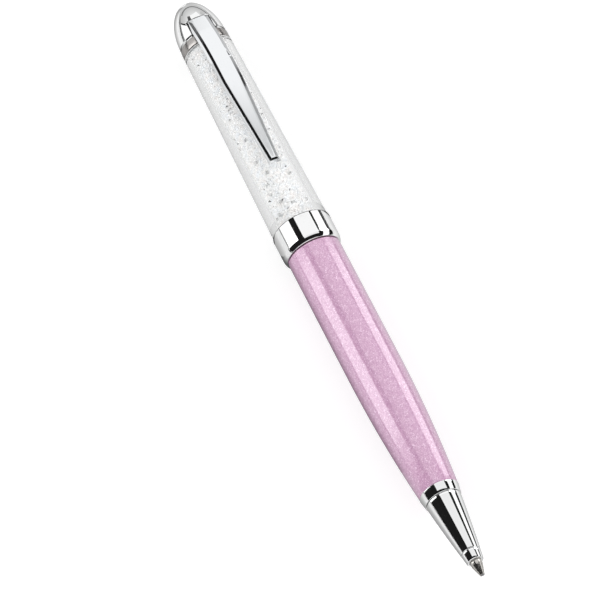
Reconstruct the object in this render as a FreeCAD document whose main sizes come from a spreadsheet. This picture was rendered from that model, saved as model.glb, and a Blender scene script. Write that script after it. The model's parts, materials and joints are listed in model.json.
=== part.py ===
"""A twist pen: lacquered lower barrel, clear upper tube filled with cut crystals.

Every piece is drawn in place in one frame. Its X axis starts at the writing point and runs
back along the pen to the cap, and its Z axis points out through the pocket clip. Each
sub-part's Placement then lays the pen down, writing point towards +X, band on Z = 0.
The pen is built round its refill: the refill's length and radius carry the mechanism,
the mechanism carries the lower barrel, and the barrel carries the band and the tube.
"""
import FreeCAD, Part
import math
import os

import Sketcher

Vector = FreeCAD.Vector
Constraint = Sketcher.Constraint
doc = FreeCAD.newDocument("twist_pen")

# Driving dimensions in mm, one spreadsheet row each.
SIZES = [
    # refill
    ("refill_length", 67.0),
    ("refill_radius", 1.175),
    ("refill_wall", 0.2),
    ("ball_radius", 0.35),
    ("ball_proud", 0.2),
    ("tip_mouth_radius", 0.47),
    ("tip_mouth_land", 0.075),
    ("tip_cone_length", 2.4),
    ("tip_sleeve_length", 7.5),
    ("tip_barb_length", 2.6),
    ("tip_channel_radius", 0.3),
    ("ink_length", 38.0),
    ("grease_length", 4.0),
    ("end_plug_length", 2.6),
    ("end_plug_vent_radius", 0.35),
    # nose
    ("tip_reach", 3.4),
    ("collar_length", 2.1),
    ("collar_front_radius", 1.72),
    ("collar_rear_radius", 2.02),
    ("collar_spigot_wall", 0.4),
    ("collar_spigot_length", 3.0),
    ("nose_seam_width", 0.14),
    ("nose_seam_depth", 0.16),
    ("nose_cone_length", 12.5),
    ("nose_cone_front_radius", 2.06),
    ("nose_cone_rear_radius", 3.62),
    ("nose_cone_bulge_radius", 300.0),
    ("nose_cone_bore_radius", 1.9),
    ("nose_ring_length", 2.1),
    ("nose_ring_front_radius", 3.78),
    ("nose_ring_radius", 4.14),
    ("ring_seam_depth", 0.3),
    ("insert_spigot_radius", 2.6),
    ("insert_spigot_length", 4.6),
    ("insert_radius", 3.4),
    ("insert_length", 7.0),
    ("insert_bore_radius", 1.6),
    # lower barrel
    ("barrel_front_radius", 4.06),
    ("barrel_rear_reduction", 0.05),
    ("barrel_swell_length", 30.0),
    ("barrel_wall", 1.24),
    # twist mechanism
    ("travel", 5.0),
    ("plunger_wall", 0.925),
    ("plunger_web", 0.7),
    ("plunger_tail", 0.5),
    ("socket_depth", 4.0),
    ("pin_radius", 0.5),
    ("cam_wall", 1.12),
    ("cam_web", 0.4),
    ("cam_bore_room", 0.4),
    ("cam_flange_length", 0.9),
    ("cam_stub_radius", 2.65),
    ("housing_wall", 0.9),
    ("housing_rim_wall", 0.3),
    ("housing_web", 1.0),
    ("housing_nose_room", 4.3),
    ("retaining_ring_length", 1.15),
    ("coupler_neck_length", 1.6),
    ("coupler_shoulder", 0.74),
    ("coupler_wall", 0.58),
    ("coupler_socket_length", 2.6),
    ("friction_ring_wire_radius", 0.37),
    # centre band and crystal tube
    ("turning_gap", 0.1),
    ("band_wall", 0.98),
    ("band_length", 6.1),
    ("band_lip_step", 0.42),
    ("band_slope_length", 1.25),
    ("tube_step", 0.22),
    ("tube_length", 43.9),
    ("tube_rear_radius", 4.97),
    ("tube_bore_radius", 3.9),
    ("tube_neck_radius", 2.65),
    ("tube_neck_shoulder", 0.4),
    ("tube_shoulder", 1.07),
    ("lower_plug_rise", 0.15),
    ("upper_plug_flange", 0.35),
    # cap
    ("cap_ring_length", 1.9),
    ("dome_seam", 0.5),
    ("dome_seam_depth", 0.3),
    ("dome_step", 0.09),
    ("dome_height", 8.8),
    ("dome_cavity_depth", 4.2),
    ("dome_cavity_taper", 1.5),
    ("dome_crown", 3.6),
    ("stud_radius", 1.0),
    ("stud_seat_depth", 1.7),
    ("stud_thread_depth", 1.8),
    # pocket clip
    ("clip_length", 36.9),
    ("clip_root_depth", 2.8),
    ("clip_root_sink", 0.36),
    ("clip_root_solid", 2.54),
    ("clip_bend_length", 10.0),
    ("clip_depth", 1.05),
    ("clip_wall", 0.45),
    ("clip_face_width", 3.6),
    ("clip_base_width", 4.6),
    ("clip_end_width", 1.6),
    ("clip_taper_length", 16.0),
    ("clip_end_wall", 1.6),
    ("clip_channel_width", 2.8),
    ("clip_channel_end_width", 0.9),
    ("clip_foot_height", 0.4),
    ("clip_knuckle_radius", 0.5),
    ("clip_knuckle_width", 2.4),
    ("clip_knuckle_drop", 1.15),
    ("tang_ring_wall", 1.4),
    ("tang_thickness", 0.6),
    ("tang_width", 2.2),
    # crystals
    ("crystal_radius", 0.9),
    ("crystal_table_radius", 0.54),
    ("crystal_crown_height", 0.36),
    ("crystal_pavilion_depth", 0.68),
    ("crystal_pitch", 1.82),
    # fits
    ("edge_round", 0.18),
    ("fit_gap", 0.02),
    ("sliding_gap", 0.06),
    ("slot_gap", 0.1),
]

# Radii measured from the pen's axis that follow from the driving dimensions.
RADII = [
    ("tip_bore", "Size.refill_radius + Size.sliding_gap"),
    ("collar_spigot", "tip_bore + Size.collar_spigot_wall"),
    ("refill_bore", "Size.refill_radius - Size.refill_wall"),
    ("plunger", "Size.refill_radius + Size.plunger_wall"),
    ("cam_bore", "plunger + Size.sliding_gap"),
    ("cam", "cam_bore + Size.cam_wall"),
    ("housing_bore", "cam + Size.sliding_gap"),
    ("housing", "housing_bore + Size.housing_wall"),
    ("housing_rim_bore", "housing - Size.housing_rim_wall"),
    ("cam_flange", "housing_rim_bore - Size.sliding_gap"),
    ("pin_reach", "housing - Size.slot_gap"),
    ("barrel_bore", "housing + Size.fit_gap"),
    ("barrel", "barrel_bore + Size.barrel_wall"),
    ("coupler_neck", "barrel_bore - Size.sliding_gap"),
    ("coupler", "barrel_bore + Size.coupler_shoulder"),
    ("band", "coupler + Size.fit_gap + Size.band_wall"),
    ("tube_spigot", "coupler - Size.coupler_wall - Size.fit_gap"),
    ("tube_front", "band - Size.tube_step"),
    ("tube_rear_spigot", "Size.tube_rear_radius - Size.tube_shoulder"),
    ("cap_ring", "Size.tube_rear_radius - Size.fit_gap"),
    ("dome", "cap_ring - Size.dome_step"),
    ("dome_cavity", "tube_rear_spigot + 2 * Size.fit_gap"),
    ("friction_ring", "barrel_bore - Size.friction_ring_wire_radius - Size.fit_gap"),
    ("stud_bore", "Size.stud_radius + Size.fit_gap"),
]

# Places along the pen, measured from the writing point towards the cap.
PLACES = [
    ("tip_cone_rear", "Size.ball_proud + Size.tip_cone_length"),
    ("tip_sleeve_rear", "tip_cone_rear + Size.tip_sleeve_length"),
    ("tip_barb_rear", "tip_sleeve_rear + Size.tip_barb_length"),
    ("ink_rear", "tip_barb_rear + Size.ink_length"),
    ("nose_front", "Size.tip_reach"),
    ("collar_rear", "nose_front + Size.collar_length"),
    ("cone_front", "collar_rear + Size.nose_seam_width"),
    ("cone_rear", "cone_front + Size.nose_cone_length"),
    ("ring_front", "cone_rear + Size.nose_seam_width"),
    ("barrel_front", "ring_front + Size.nose_ring_length"),
    ("socket_front", "Size.refill_length - Size.socket_depth"),
    ("pin_out", "Size.refill_length + Size.plunger_web + Size.pin_radius"),
    ("pin_back", "pin_out + Size.travel"),
    ("plunger_rear", "pin_out + Size.pin_radius + Size.plunger_tail"),
    ("cam_front", "socket_front + Size.sliding_gap"),
    ("cam_bore_end", "plunger_rear + Size.travel + Size.cam_bore_room"),
    ("cam_flange_front", "cam_bore_end + Size.cam_web"),
    ("cam_flange_rear", "cam_flange_front + Size.cam_flange_length"),
    ("housing_front", "cam_front - Size.housing_nose_room - Size.housing_web"),
    ("ring_seat", "cam_flange_rear + Size.sliding_gap"),
    ("housing_rear", "ring_seat + Size.retaining_ring_length"),
    ("coupler_front", "housing_rear + Size.slot_gap"),
    ("band_front", "coupler_front + Size.coupler_neck_length"),
    ("barrel_rear", "band_front - Size.turning_gap"),
    ("band_rear", "band_front + Size.band_length"),
    ("coupler_seat", "band_rear - Size.coupler_socket_length"),
    ("tube_rear", "band_rear + Size.tube_length"),
    ("tube_neck", "tube_rear - Size.tube_neck_shoulder"),
    ("cap_ring_rear", "tube_rear + Size.cap_ring_length"),
    ("plug_rear", "cap_ring_rear + Size.upper_plug_flange"),
    ("dome_front", "cap_ring_rear + Size.dome_seam"),
    ("apex", "dome_front + Size.dome_height"),
    ("stud_front", "plug_rear - Size.stud_seat_depth"),
    ("crown_front", "apex - Size.dome_crown"),
    ("stud_rear", "crown_front + Size.stud_thread_depth"),
    ("clip_root", "dome_front + Size.clip_root_depth"),
    ("clip_end", "clip_root - Size.clip_length"),
    ("clip_bend", "clip_root - Size.clip_bend_length"),
    ("clip_taper", "clip_end + Size.clip_taper_length"),
    ("middle", "apex / 2"),
]

# The clip's heights above the axis and the shape of its bend down into the cap.
CLIP = [
    ("tube_slope", "(Rad.tube_front - Size.tube_rear_radius) / Size.tube_length"),
    ("tube_below", "Rad.tube_front - tube_slope * (At.clip_end - At.band_rear)"),
    ("foot", "tube_below + Size.slot_gap / 2"),
    ("base", "foot + Size.clip_foot_height"),
    ("face", "base + Size.clip_depth"),
    ("root", "Rad.dome - Size.clip_root_sink"),
    ("drop", "face - root"),
    ("bend_radius", "(Size.clip_bend_length ^ 2 + drop ^ 2) / (2 * drop)"),
    ("channel", "face - Size.clip_wall"),
    ("hinge", "root - Size.clip_knuckle_drop"),
    ("tongue", "hinge - Size.clip_knuckle_radius - Size.slot_gap / 2"),
]


def make_sheet():
    """Spreadsheet with one named plain number in each row."""
    sheet = doc.addObject("Spreadsheet::Sheet", "Size")
    for row, (name, value) in enumerate(SIZES, start=1):
        sheet.set(f"A{row}", name)
        sheet.set(f"B{row}", str(value))
        sheet.setAlias(f"B{row}", name)
    doc.recompute()
    return sheet


def make_derived(name, rows):
    """Set of numbers worked out from the sheet, such as At.barrel_rear."""
    group = doc.addObject("App::VarSet", name)
    for key, expression in rows:
        group.addProperty("App::PropertyFloat", key)
        group.setExpression(key, expression)
    doc.recompute()
    return group


def number(expression):
    """Present value of an expression of Size, Rad, At and Clip."""
    value = size.evalExpression(str(expression))
    return float(getattr(value, "Value", value))


size = make_sheet()
make_derived("Rad", RADII)
make_derived("At", PLACES)
make_derived("Clip", CLIP)


# ------------------------------------------------------------------ drawing helpers
def lay_down(part, along="0", across="0", turn=None):
    """Place a sub-part in the laid-down pen; along and across start at the pen's frame."""
    turn = turn or FreeCAD.Rotation(Vector(0, 0, 1), 180)
    part.Placement = FreeCAD.Placement(Vector(), turn)
    part.setExpression("Placement.Base.x", f"At.middle - ({along})")
    part.setExpression("Placement.Base.y", across)
    part.setExpression("Placement.Base.z", "Rad.band")


# Length of a cut that goes right through the pen.
THROUGH = "2 * Rad.band"


def new_body(name):
    body = doc.addObject("PartDesign::Body", name)
    body.Label = name
    lay_down(body)
    return body


def new_sketch(body, role, name, offset=None):
    """Sketch on one of the body's own origin planes, raised by offset along its normal."""
    sketch = body.newObject("Sketcher::SketchObject", f"{body.Label}_{name}")
    plane = next(item for item in body.Origin.OriginFeatures if item.Role == role)
    sketch.AttachmentSupport = [(plane, "")]
    sketch.MapMode = "FlatFace"
    if offset:
        sketch.setExpression("AttachmentOffset.Base.z", offset)
    return sketch


def pin_point(sketch, geometry, end, along, across):
    """Hold one point of a sketch at two expressions, measured from the sketch's origin."""
    for kind, axis, expression in (("DistanceX", -2, along), ("DistanceY", -1, across)):
        if expression == "0":
            sketch.addConstraint(Constraint("PointOnObject", geometry, end, axis))
            continue
        rule = Constraint(kind, -1, 1, geometry, end, number(expression))
        index = sketch.addConstraint(rule)
        sketch.setExpression(f"Constraints[{index}]", expression)


def add_arc(sketch, start, finish, radius, outwards):
    """Minor arc bulging towards outwards; returns its index and which ends meet start, finish.

    The sketcher's arcs always run anticlockwise, so an arc may have to be drawn from finish
    to start.
    """
    chord = finish - start
    left = Vector(-chord.y, chord.x, 0).normalize()
    ends = (1, 2)
    if left.dot(outwards) > 0:
        start, finish = finish, start
        left = -left
        ends = (2, 1)
    reach = math.sqrt(radius**2 - chord.Length**2 / 4)
    centre = (start + finish) / 2 + left * reach
    first = math.atan2(start.y - centre.y, start.x - centre.x)
    last = math.atan2(finish.y - centre.y, finish.x - centre.x)
    if last < first:
        last += 2 * math.pi
    circle = Part.Circle(centre, Vector(0, 0, 1), radius)
    return sketch.addGeometry(Part.ArcOfCircle(circle, first, last)), ends


def outline(sketch, corners):
    """Closed outline through corners, each (along, across) or (along, across, radius).

    A radius makes the side that follows an arc bulging out; "quarter" makes it a quarter
    of an ellipse, level with the axis at its start and square to it at its end.
    """
    points = [Vector(number(corner[0]), number(corner[1]), 0) for corner in corners]
    centre = sum(points, Vector()) / len(points)
    sides = []
    for index, corner in enumerate(corners):
        start = points[index]
        finish = points[(index + 1) % len(points)]
        ends = (1, 2)
        if len(corner) == 2:
            side = sketch.addGeometry(Part.LineSegment(start, finish))
        elif corner[2] == "quarter":
            middle = Vector(start.x, finish.y, 0)
            ellipse = Part.Ellipse(finish, start, middle)
            side = sketch.addGeometry(Part.ArcOfEllipse(ellipse, 0, math.pi / 2))
            ends = (2, 1)
        else:
            outwards = (start + finish) / 2 - centre
            side, ends = add_arc(sketch, start, finish, number(corner[2]), outwards)
        sides.append((side, *ends))
    for index, corner in enumerate(corners):
        side, start, finish = sides[index]
        before, _, before_end = sides[index - 1]
        sketch.addConstraint(Constraint("Coincident", before, before_end, side, start))
        pin_point(sketch, side, start, corner[0], corner[1])
    for index, corner in enumerate(corners):
        side = sides[index][0]
        if len(corner) == 2:
            continue
        if corner[2] == "quarter":
            hold_quarter(sketch, side, corner[0])
            continue
        curve = Constraint("Radius", side, number(corner[2]))
        sketch.setExpression(f"Constraints[{sketch.addConstraint(curve)}]", corner[2])
    return sketch


def hold_quarter(sketch, side, along):
    """Keep an elliptic quarter's centre on the axis below its start, main axis level."""
    sketch.exposeInternalGeometry(side)
    major = next(
        index
        for index, item in enumerate(sketch.Geometry)
        if index > side and isinstance(item, Part.LineSegment) and sketch.getConstruction(index)
    )
    pin_point(sketch, side, 3, along, "0")
    sketch.addConstraint(Constraint("Horizontal", major))


def turned(name, corners):
    """Body turned about the pen's axis from a closed half outline."""
    body = new_body(name)
    sketch = outline(new_sketch(body, "XZ_Plane", "outline"), corners)
    turn = body.newObject("PartDesign::Revolution", f"{name}_turned")
    turn.Profile = sketch
    turn.ReferenceAxis = (sketch, ["H_Axis"])
    turn.Angle = 360
    return body


def extruded(body, kind, name, sketch, length, symmetric=False):
    """Pad or Pocket of a sketch, as long as an expression says."""
    feature = body.newObject(f"PartDesign::{kind}", f"{body.Label}_{name}")
    feature.Profile = sketch
    feature.SideType = "Symmetric" if symmetric else "One side"
    feature.setExpression("Length", length)
    return feature


def rod(name, start, finish, radius):
    """Plain round rod on the pen's axis."""
    part = doc.addObject("Part::Cylinder", name)
    part.Label = name
    part.setExpression("Radius", radius)
    part.setExpression("Height", f"({finish}) - ({start})")
    lay_down(part, along=start, turn=FreeCAD.Rotation(Vector(0, 1, 0), -90))
    return part


def sleeve(start, finish, inner, outer):
    """Corners of a plain sleeve."""
    return [(start, inner), (start, outer), (finish, outer), (finish, inner)]


# ------------------------------------------------------------------------ nose
def make_end_collar():
    """Mouth of the nose: a short collar pressed into the cone, with a fine seam behind it."""
    neck = "Size.collar_rear_radius - Size.nose_seam_depth"
    spigot_end = "At.cone_front + Size.collar_spigot_length"
    return turned("end_collar", [
        ("At.nose_front", "Rad.tip_bore"),
        ("At.nose_front", "Size.collar_front_radius - Size.edge_round", "Size.edge_round"),
        ("At.nose_front + Size.edge_round", "Size.collar_front_radius"),
        ("At.collar_rear", "Size.collar_rear_radius"),
        ("At.collar_rear", neck),
        ("At.cone_front", neck),
        ("At.cone_front", "Rad.collar_spigot"),
        (spigot_end, "Rad.collar_spigot"),
        (spigot_end, "Rad.tip_bore"),
    ])


def make_nose_cone():
    """Gently swelling cone, bored for the collar in front and the barrel insert behind."""
    front_bore = "Rad.collar_spigot + Size.fit_gap"
    front_depth = "At.cone_front + Size.collar_spigot_length + Size.slot_gap"
    rear_bore = "Size.insert_spigot_radius + Size.fit_gap"
    rear_depth = "At.cone_rear - Size.insert_spigot_length - Size.slot_gap"
    return turned("nose_cone", [
        ("At.cone_front", front_bore),
        ("At.cone_front", "Size.nose_cone_front_radius", "Size.nose_cone_bulge_radius"),
        ("At.cone_rear - Size.edge_round", "Size.nose_cone_rear_radius", "Size.edge_round"),
        ("At.cone_rear", "Size.nose_cone_rear_radius - Size.edge_round"),
        ("At.cone_rear", rear_bore),
        (rear_depth, rear_bore),
        (rear_depth, "Size.nose_cone_bore_radius"),
        (front_depth, "Size.nose_cone_bore_radius"),
        (front_depth, front_bore),
    ])


def make_nose_ring():
    """Tapered chrome ring between cone and barrel, with a narrow neck that makes the seam."""
    bore = "Size.insert_spigot_radius + Size.fit_gap"
    neck = "Size.nose_cone_rear_radius - Size.ring_seam_depth"
    return turned("nose_ring", [
        ("At.cone_rear", bore),
        ("At.cone_rear", neck),
        ("At.ring_front", neck),
        ("At.ring_front", "Size.nose_ring_front_radius - Size.edge_round", "Size.edge_round"),
        ("At.ring_front + Size.edge_round", "Size.nose_ring_front_radius"),
        ("At.barrel_front - Size.edge_round", "Size.nose_ring_radius", "Size.edge_round"),
        ("At.barrel_front", "Size.nose_ring_radius - Size.edge_round"),
        ("At.barrel_front", bore),
    ])


def make_barrel_insert():
    """Brass bush glued in the barrel's mouth; the nose cone screws on to its spigot."""
    front = "At.cone_rear - Size.insert_spigot_length"
    rear = "At.barrel_front + Size.insert_length"
    return turned("barrel_insert", [
        (front, "Size.insert_bore_radius"),
        (front, "Size.insert_spigot_radius"),
        ("At.barrel_front", "Size.insert_spigot_radius"),
        ("At.barrel_front", "Size.insert_radius"),
        (rear, "Size.insert_radius"),
        (rear, "Size.insert_bore_radius"),
    ])


# ---------------------------------------------------------------- lower barrel
def make_lower_barrel():
    """Lacquered barrel: it swells to its full radius on one long arc, then runs nearly level."""
    rise = "(Rad.barrel - Size.barrel_front_radius)"
    swell = f"(Size.barrel_swell_length ^ 2 + {rise} ^ 2) / (2 * {rise})"
    front_bore = "Size.insert_radius + Size.fit_gap"
    rear_radius = "Rad.barrel - Size.barrel_rear_reduction"
    return turned("lower_barrel", [
        ("At.barrel_front", front_bore),
        ("At.barrel_front", "Size.barrel_front_radius", swell),
        ("At.barrel_front + Size.barrel_swell_length", "Rad.barrel"),
        ("At.barrel_rear - Size.edge_round", rear_radius, "Size.edge_round"),
        ("At.barrel_rear", f"{rear_radius} - Size.edge_round"),
        ("At.barrel_rear", "Rad.barrel_bore"),
        ("At.housing_front", "Rad.barrel_bore"),
        ("At.housing_front", front_bore),
    ])


# -------------------------------------------------------------- twist mechanism
def make_mechanism_housing():
    """Fixed sleeve with two straight slots that stop the cross pin turning."""
    body = turned("mechanism_housing", [
        ("At.housing_front", "Rad.tip_bore"),
        ("At.housing_front", "Rad.housing"),
        ("At.housing_rear", "Rad.housing"),
        ("At.housing_rear", "Rad.housing_rim_bore"),
        ("At.cam_flange_front - Size.sliding_gap", "Rad.housing_rim_bore"),
        ("At.cam_flange_front - Size.sliding_gap", "Rad.housing_bore"),
        ("At.housing_front + Size.housing_web", "Rad.housing_bore"),
        ("At.housing_front + Size.housing_web", "Rad.tip_bore"),
    ])
    ends = "Size.pin_radius + Size.slot_gap"
    half = "Size.pin_radius + Size.sliding_gap"
    slots = outline(new_sketch(body, "XZ_Plane", "slots"), [
        (f"At.pin_out - ({ends})", f"-({half})"),
        (f"At.pin_out - ({ends})", half),
        (f"At.pin_back + {ends}", half),
        (f"At.pin_back + {ends}", f"-({half})"),
    ])
    extruded(body, "Pocket", "slot_cut", slots, THROUGH, symmetric=True)
    return body


def make_cam_sleeve():
    """Turning sleeve: two half-turn helical slots push the cross pin along the barrel."""
    body = turned("cam_sleeve", [
        ("At.cam_front", "Rad.cam_bore"),
        ("At.cam_front", "Rad.cam"),
        ("At.cam_flange_front", "Rad.cam"),
        ("At.cam_flange_front", "Rad.cam_flange"),
        ("At.cam_flange_rear", "Rad.cam_flange"),
        ("At.cam_flange_rear", "Size.cam_stub_radius"),
        ("At.coupler_seat", "Size.cam_stub_radius"),
        ("At.coupler_seat", "0"),
        ("At.cam_bore_end", "0"),
        ("At.cam_bore_end", "Rad.cam_bore"),
    ])
    lean = "atan(Size.travel / (pi * Rad.cam_bore))"
    half = f"(Size.pin_radius + Size.sliding_gap) / cos({lean})"
    inner = "Rad.cam_bore - Size.cam_wall / 2"
    outer = "Rad.cam + Size.cam_wall / 2"
    section = outline(new_sketch(body, "XY_Plane", "slot_section"), [
        (f"At.pin_out - {half}", inner),
        (f"At.pin_out - {half}", outer),
        (f"At.pin_out + {half}", outer),
        (f"At.pin_out + {half}", inner),
    ])
    helix = body.newObject("PartDesign::SubtractiveHelix", "cam_sleeve_helical_slot")
    helix.Profile = section
    helix.ReferenceAxis = (section, ["H_Axis"])
    helix.Mode = "pitch-height-angle"
    helix.setExpression("Pitch", "2 * Size.travel")
    helix.setExpression("Height", "Size.travel")
    helix.LeftHanded = True
    pair = body.newObject("PartDesign::PolarPattern", "cam_sleeve_slot_pair")
    pair.Originals = [helix]
    pair.Axis = (section, ["H_Axis"])
    pair.Angle = 360
    pair.Occurrences = 2
    body.Tip = pair
    ends = new_sketch(body, "XZ_Plane", "slot_ends")
    for place in ("At.pin_out", "At.pin_back"):
        add_circle(ends, place, "0", "Size.pin_radius + Size.sliding_gap")
    extruded(body, "Pocket", "slot_end_cut", ends, THROUGH, symmetric=True)
    return body


def add_circle(sketch, along, across, radius):
    centre = Vector(number(along), number(across), 0)
    circle = sketch.addGeometry(Part.Circle(centre, Vector(0, 0, 1), number(radius)))
    pin_point(sketch, circle, 3, along, across)
    rule = sketch.addConstraint(Constraint("Radius", circle, number(radius)))
    sketch.setExpression(f"Constraints[{rule}]", radius)


def make_retaining_ring():
    """Ring pressed into the housing behind the cam's flange."""
    return turned("retaining_ring", sleeve(
        "At.ring_seat",
        "At.housing_rear",
        "Size.cam_stub_radius + Size.sliding_gap",
        "Rad.housing_rim_bore - Size.fit_gap",
    ))


def make_plunger():
    """Slider that grips the refill's rear end and carries the cross pin."""
    socket = "Size.refill_radius + Size.fit_gap"
    body = turned("plunger", [
        ("At.socket_front", socket),
        ("At.socket_front", "Rad.plunger"),
        ("At.plunger_rear", "Rad.plunger"),
        ("At.plunger_rear", "0"),
        ("Size.refill_length", "0"),
        ("Size.refill_length", socket),
    ])
    hole = new_sketch(body, "XZ_Plane", "pin_hole")
    add_circle(hole, "At.pin_out", "0", "Size.pin_radius + Size.fit_gap")
    extruded(body, "Pocket", "pin_hole_cut", hole, THROUGH, symmetric=True)
    return body


def make_cross_pin():
    """Pin through plunger and cam slots, with its ends in the housing's straight slots."""
    part = doc.addObject("Part::Cylinder", "cross_pin")
    part.Label = "cross_pin"
    part.setExpression("Radius", "Size.pin_radius")
    part.setExpression("Height", "2 * Rad.pin_reach")
    across = FreeCAD.Rotation(Vector(1, 0, 0), -90)
    lay_down(part, along="At.pin_out", across="-Rad.pin_reach", turn=across)
    return part


def make_coupler_bush():
    """Bush on the cam's stub that carries the band and the crystal tube."""
    bore = "Size.cam_stub_radius + Size.fit_gap"
    socket = "Rad.tube_spigot + Size.fit_gap"
    groove = "Rad.friction_ring - Size.friction_ring_wire_radius"
    middle = "(At.coupler_front + At.band_front) / 2"
    half = "(Size.friction_ring_wire_radius + Size.sliding_gap)"
    return turned("coupler_bush", [
        ("At.coupler_front", bore),
        ("At.coupler_front", "Rad.coupler_neck"),
        (f"{middle} - {half}", "Rad.coupler_neck"),
        (f"{middle} - {half}", groove),
        (f"{middle} + {half}", groove),
        (f"{middle} + {half}", "Rad.coupler_neck"),
        ("At.band_front", "Rad.coupler_neck"),
        ("At.band_front", "Rad.coupler"),
        ("At.band_rear", "Rad.coupler"),
        ("At.band_rear", socket),
        ("At.coupler_seat", socket),
        ("At.coupler_seat", bore),
    ])


def make_friction_ring():
    """Rubber ring in the bush's groove that gives the twist its drag."""
    ring = doc.addObject("Part::Torus", "friction_ring")
    ring.Label = "friction_ring"
    ring.setExpression("Radius1", "Rad.friction_ring")
    ring.setExpression("Radius2", "Size.friction_ring_wire_radius")
    middle = "(At.coupler_front + At.band_front) / 2"
    lay_down(ring, along=middle, turn=FreeCAD.Rotation(Vector(0, 1, 0), 90))
    return ring


# ------------------------------------------------------- band, tube and crystals
def make_center_band():
    """Wide plain band; its front edge slopes in to a thin lip over the barrel."""
    lip = "Rad.band - Size.band_lip_step"
    slope = "(Size.band_slope_length ^ 2 + Size.band_lip_step ^ 2) / (2 * Size.band_lip_step)"
    bore = "Rad.coupler + Size.fit_gap"
    return turned("center_band", [
        ("At.band_front", bore),
        ("At.band_front", lip, slope),
        ("At.band_front + Size.band_slope_length", "Rad.band"),
        ("At.band_rear - Size.edge_round", "Rad.band", "Size.edge_round"),
        ("At.band_rear", "Rad.band - Size.edge_round"),
        ("At.band_rear", bore),
    ])


def make_crystal_tube():
    """Clear tube with a spigot at each end, bored from the front as far as its rear neck."""
    return turned("crystal_tube", [
        ("At.coupler_seat", "Size.tube_bore_radius"),
        ("At.coupler_seat", "Rad.tube_spigot"),
        ("At.band_rear", "Rad.tube_spigot"),
        ("At.band_rear", "Rad.tube_front"),
        ("At.tube_rear", "Size.tube_rear_radius"),
        ("At.tube_rear", "Rad.tube_rear_spigot"),
        ("At.cap_ring_rear", "Rad.tube_rear_spigot"),
        ("At.cap_ring_rear", "Size.tube_neck_radius"),
        ("At.tube_neck", "Size.tube_neck_radius"),
        ("At.tube_neck", "Size.tube_bore_radius"),
    ])


def make_lower_plug():
    """Disc that closes the bore's lower end, just above the band."""
    return rod(
        "lower_tube_plug",
        "At.coupler_seat",
        "At.band_rear + Size.lower_plug_rise",
        "Size.tube_bore_radius - Size.fit_gap",
    )


def make_upper_plug():
    """Flanged plug in the tube's neck, flush with its shoulder and drilled for the stud."""
    radius = "Size.tube_neck_radius - Size.fit_gap"
    return turned("upper_tube_plug", [
        ("At.tube_neck", "0"),
        ("At.tube_neck", radius),
        ("At.cap_ring_rear", radius),
        ("At.cap_ring_rear", "Rad.tube_rear_spigot"),
        ("At.plug_rear", "Rad.tube_rear_spigot"),
        ("At.plug_rear", "Rad.stud_bore"),
        ("At.stud_front", "Rad.stud_bore"),
        ("At.stud_front", "0"),
    ])


def cut_stone():
    """One cut stone: a six-sided crown with a flat table over a pointed pavilion."""
    sides = 6
    rim = [
        Vector(math.cos(2 * math.pi * k / sides), math.sin(2 * math.pi * k / sides), 0)
        for k in range(sides)
    ]
    crown_height = Vector(0, 0, number("Size.crystal_crown_height"))
    girdle = [corner * number("Size.crystal_radius") for corner in rim]
    table = [corner * number("Size.crystal_table_radius") + crown_height for corner in rim]
    culet = Vector(0, 0, -number("Size.crystal_pavilion_depth"))
    faces = [Part.Face(Part.makePolygon(table + table[:1]))]
    for k in range(sides):
        after = (k + 1) % sides
        crown = [girdle[k], girdle[after], table[after], table[k], girdle[k]]
        pavilion = [girdle[after], girdle[k], culet, girdle[after]]
        faces.append(Part.Face(Part.makePolygon(crown)))
        faces.append(Part.Face(Part.makePolygon(pavilion)))
    return Part.makeSolid(Part.makeShell(faces))


def make_crystals():
    """Loose stones in layers up the bore: three in the middle of each, the rest round them.

    Each layer is turned on from the last, and each stone tumbled, by an angle in degrees
    that never lines up with its neighbours'.
    """
    layer_turn, seat_tumble, layer_tumble, layer_spin = 137.5, 97, 59, 71
    middle_seats = 3
    radius = number("Size.crystal_radius")
    pitch = number("Size.crystal_pitch")
    wall = number("Size.tube_bore_radius - Size.crystal_radius - Size.slot_gap")
    start = number("At.band_rear + Size.lower_plug_rise + Size.crystal_radius + Size.slot_gap")
    finish = number("At.tube_neck - Size.crystal_radius")
    gaps = int((finish - start) / pitch)
    half_gap = radius + number("Size.fit_gap")
    around = int(math.pi * wall / half_gap)
    middle = half_gap / math.sin(math.pi / middle_seats)
    seats = [(wall, 360 * seat / around) for seat in range(around)]
    seats += [(middle, 360 * seat / middle_seats) for seat in range(middle_seats)]
    stone = cut_stone()
    stones = []
    for layer in range(gaps + 1):
        along = start + (finish - start) * layer / gaps
        for seat, (offset, bearing) in enumerate(seats):
            turn = bearing + layer_turn * layer
            copy = stone.copy()
            copy.rotate(Vector(), Vector(1, 1, 0), seat_tumble * seat + layer_tumble * layer)
            copy.rotate(Vector(), Vector(0, 0, 1), layer_spin * layer)
            copy.translate(Vector(along, offset, 0))
            copy.rotate(Vector(), Vector(1, 0, 0), turn)
            stones.append(copy)
    part = doc.addObject("Part::Feature", "crystals")
    part.Label = "crystals"
    part.Shape = Part.makeCompound(stones)
    lay_down(part)
    return part


# ------------------------------------------------------------------------- cap
def make_cap_ring():
    """Chrome ring over the tube's upper spigot."""
    bore = "Rad.tube_rear_spigot + Size.fit_gap"
    flank = "Rad.cap_ring - Size.edge_round"
    return turned("cap_ring", [
        ("At.tube_rear", bore),
        ("At.tube_rear", flank, "Size.edge_round"),
        ("At.tube_rear + Size.edge_round", "Rad.cap_ring"),
        ("At.cap_ring_rear - Size.edge_round", "Rad.cap_ring", "Size.edge_round"),
        ("At.cap_ring_rear", flank),
        ("At.cap_ring_rear", bore),
    ])


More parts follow.
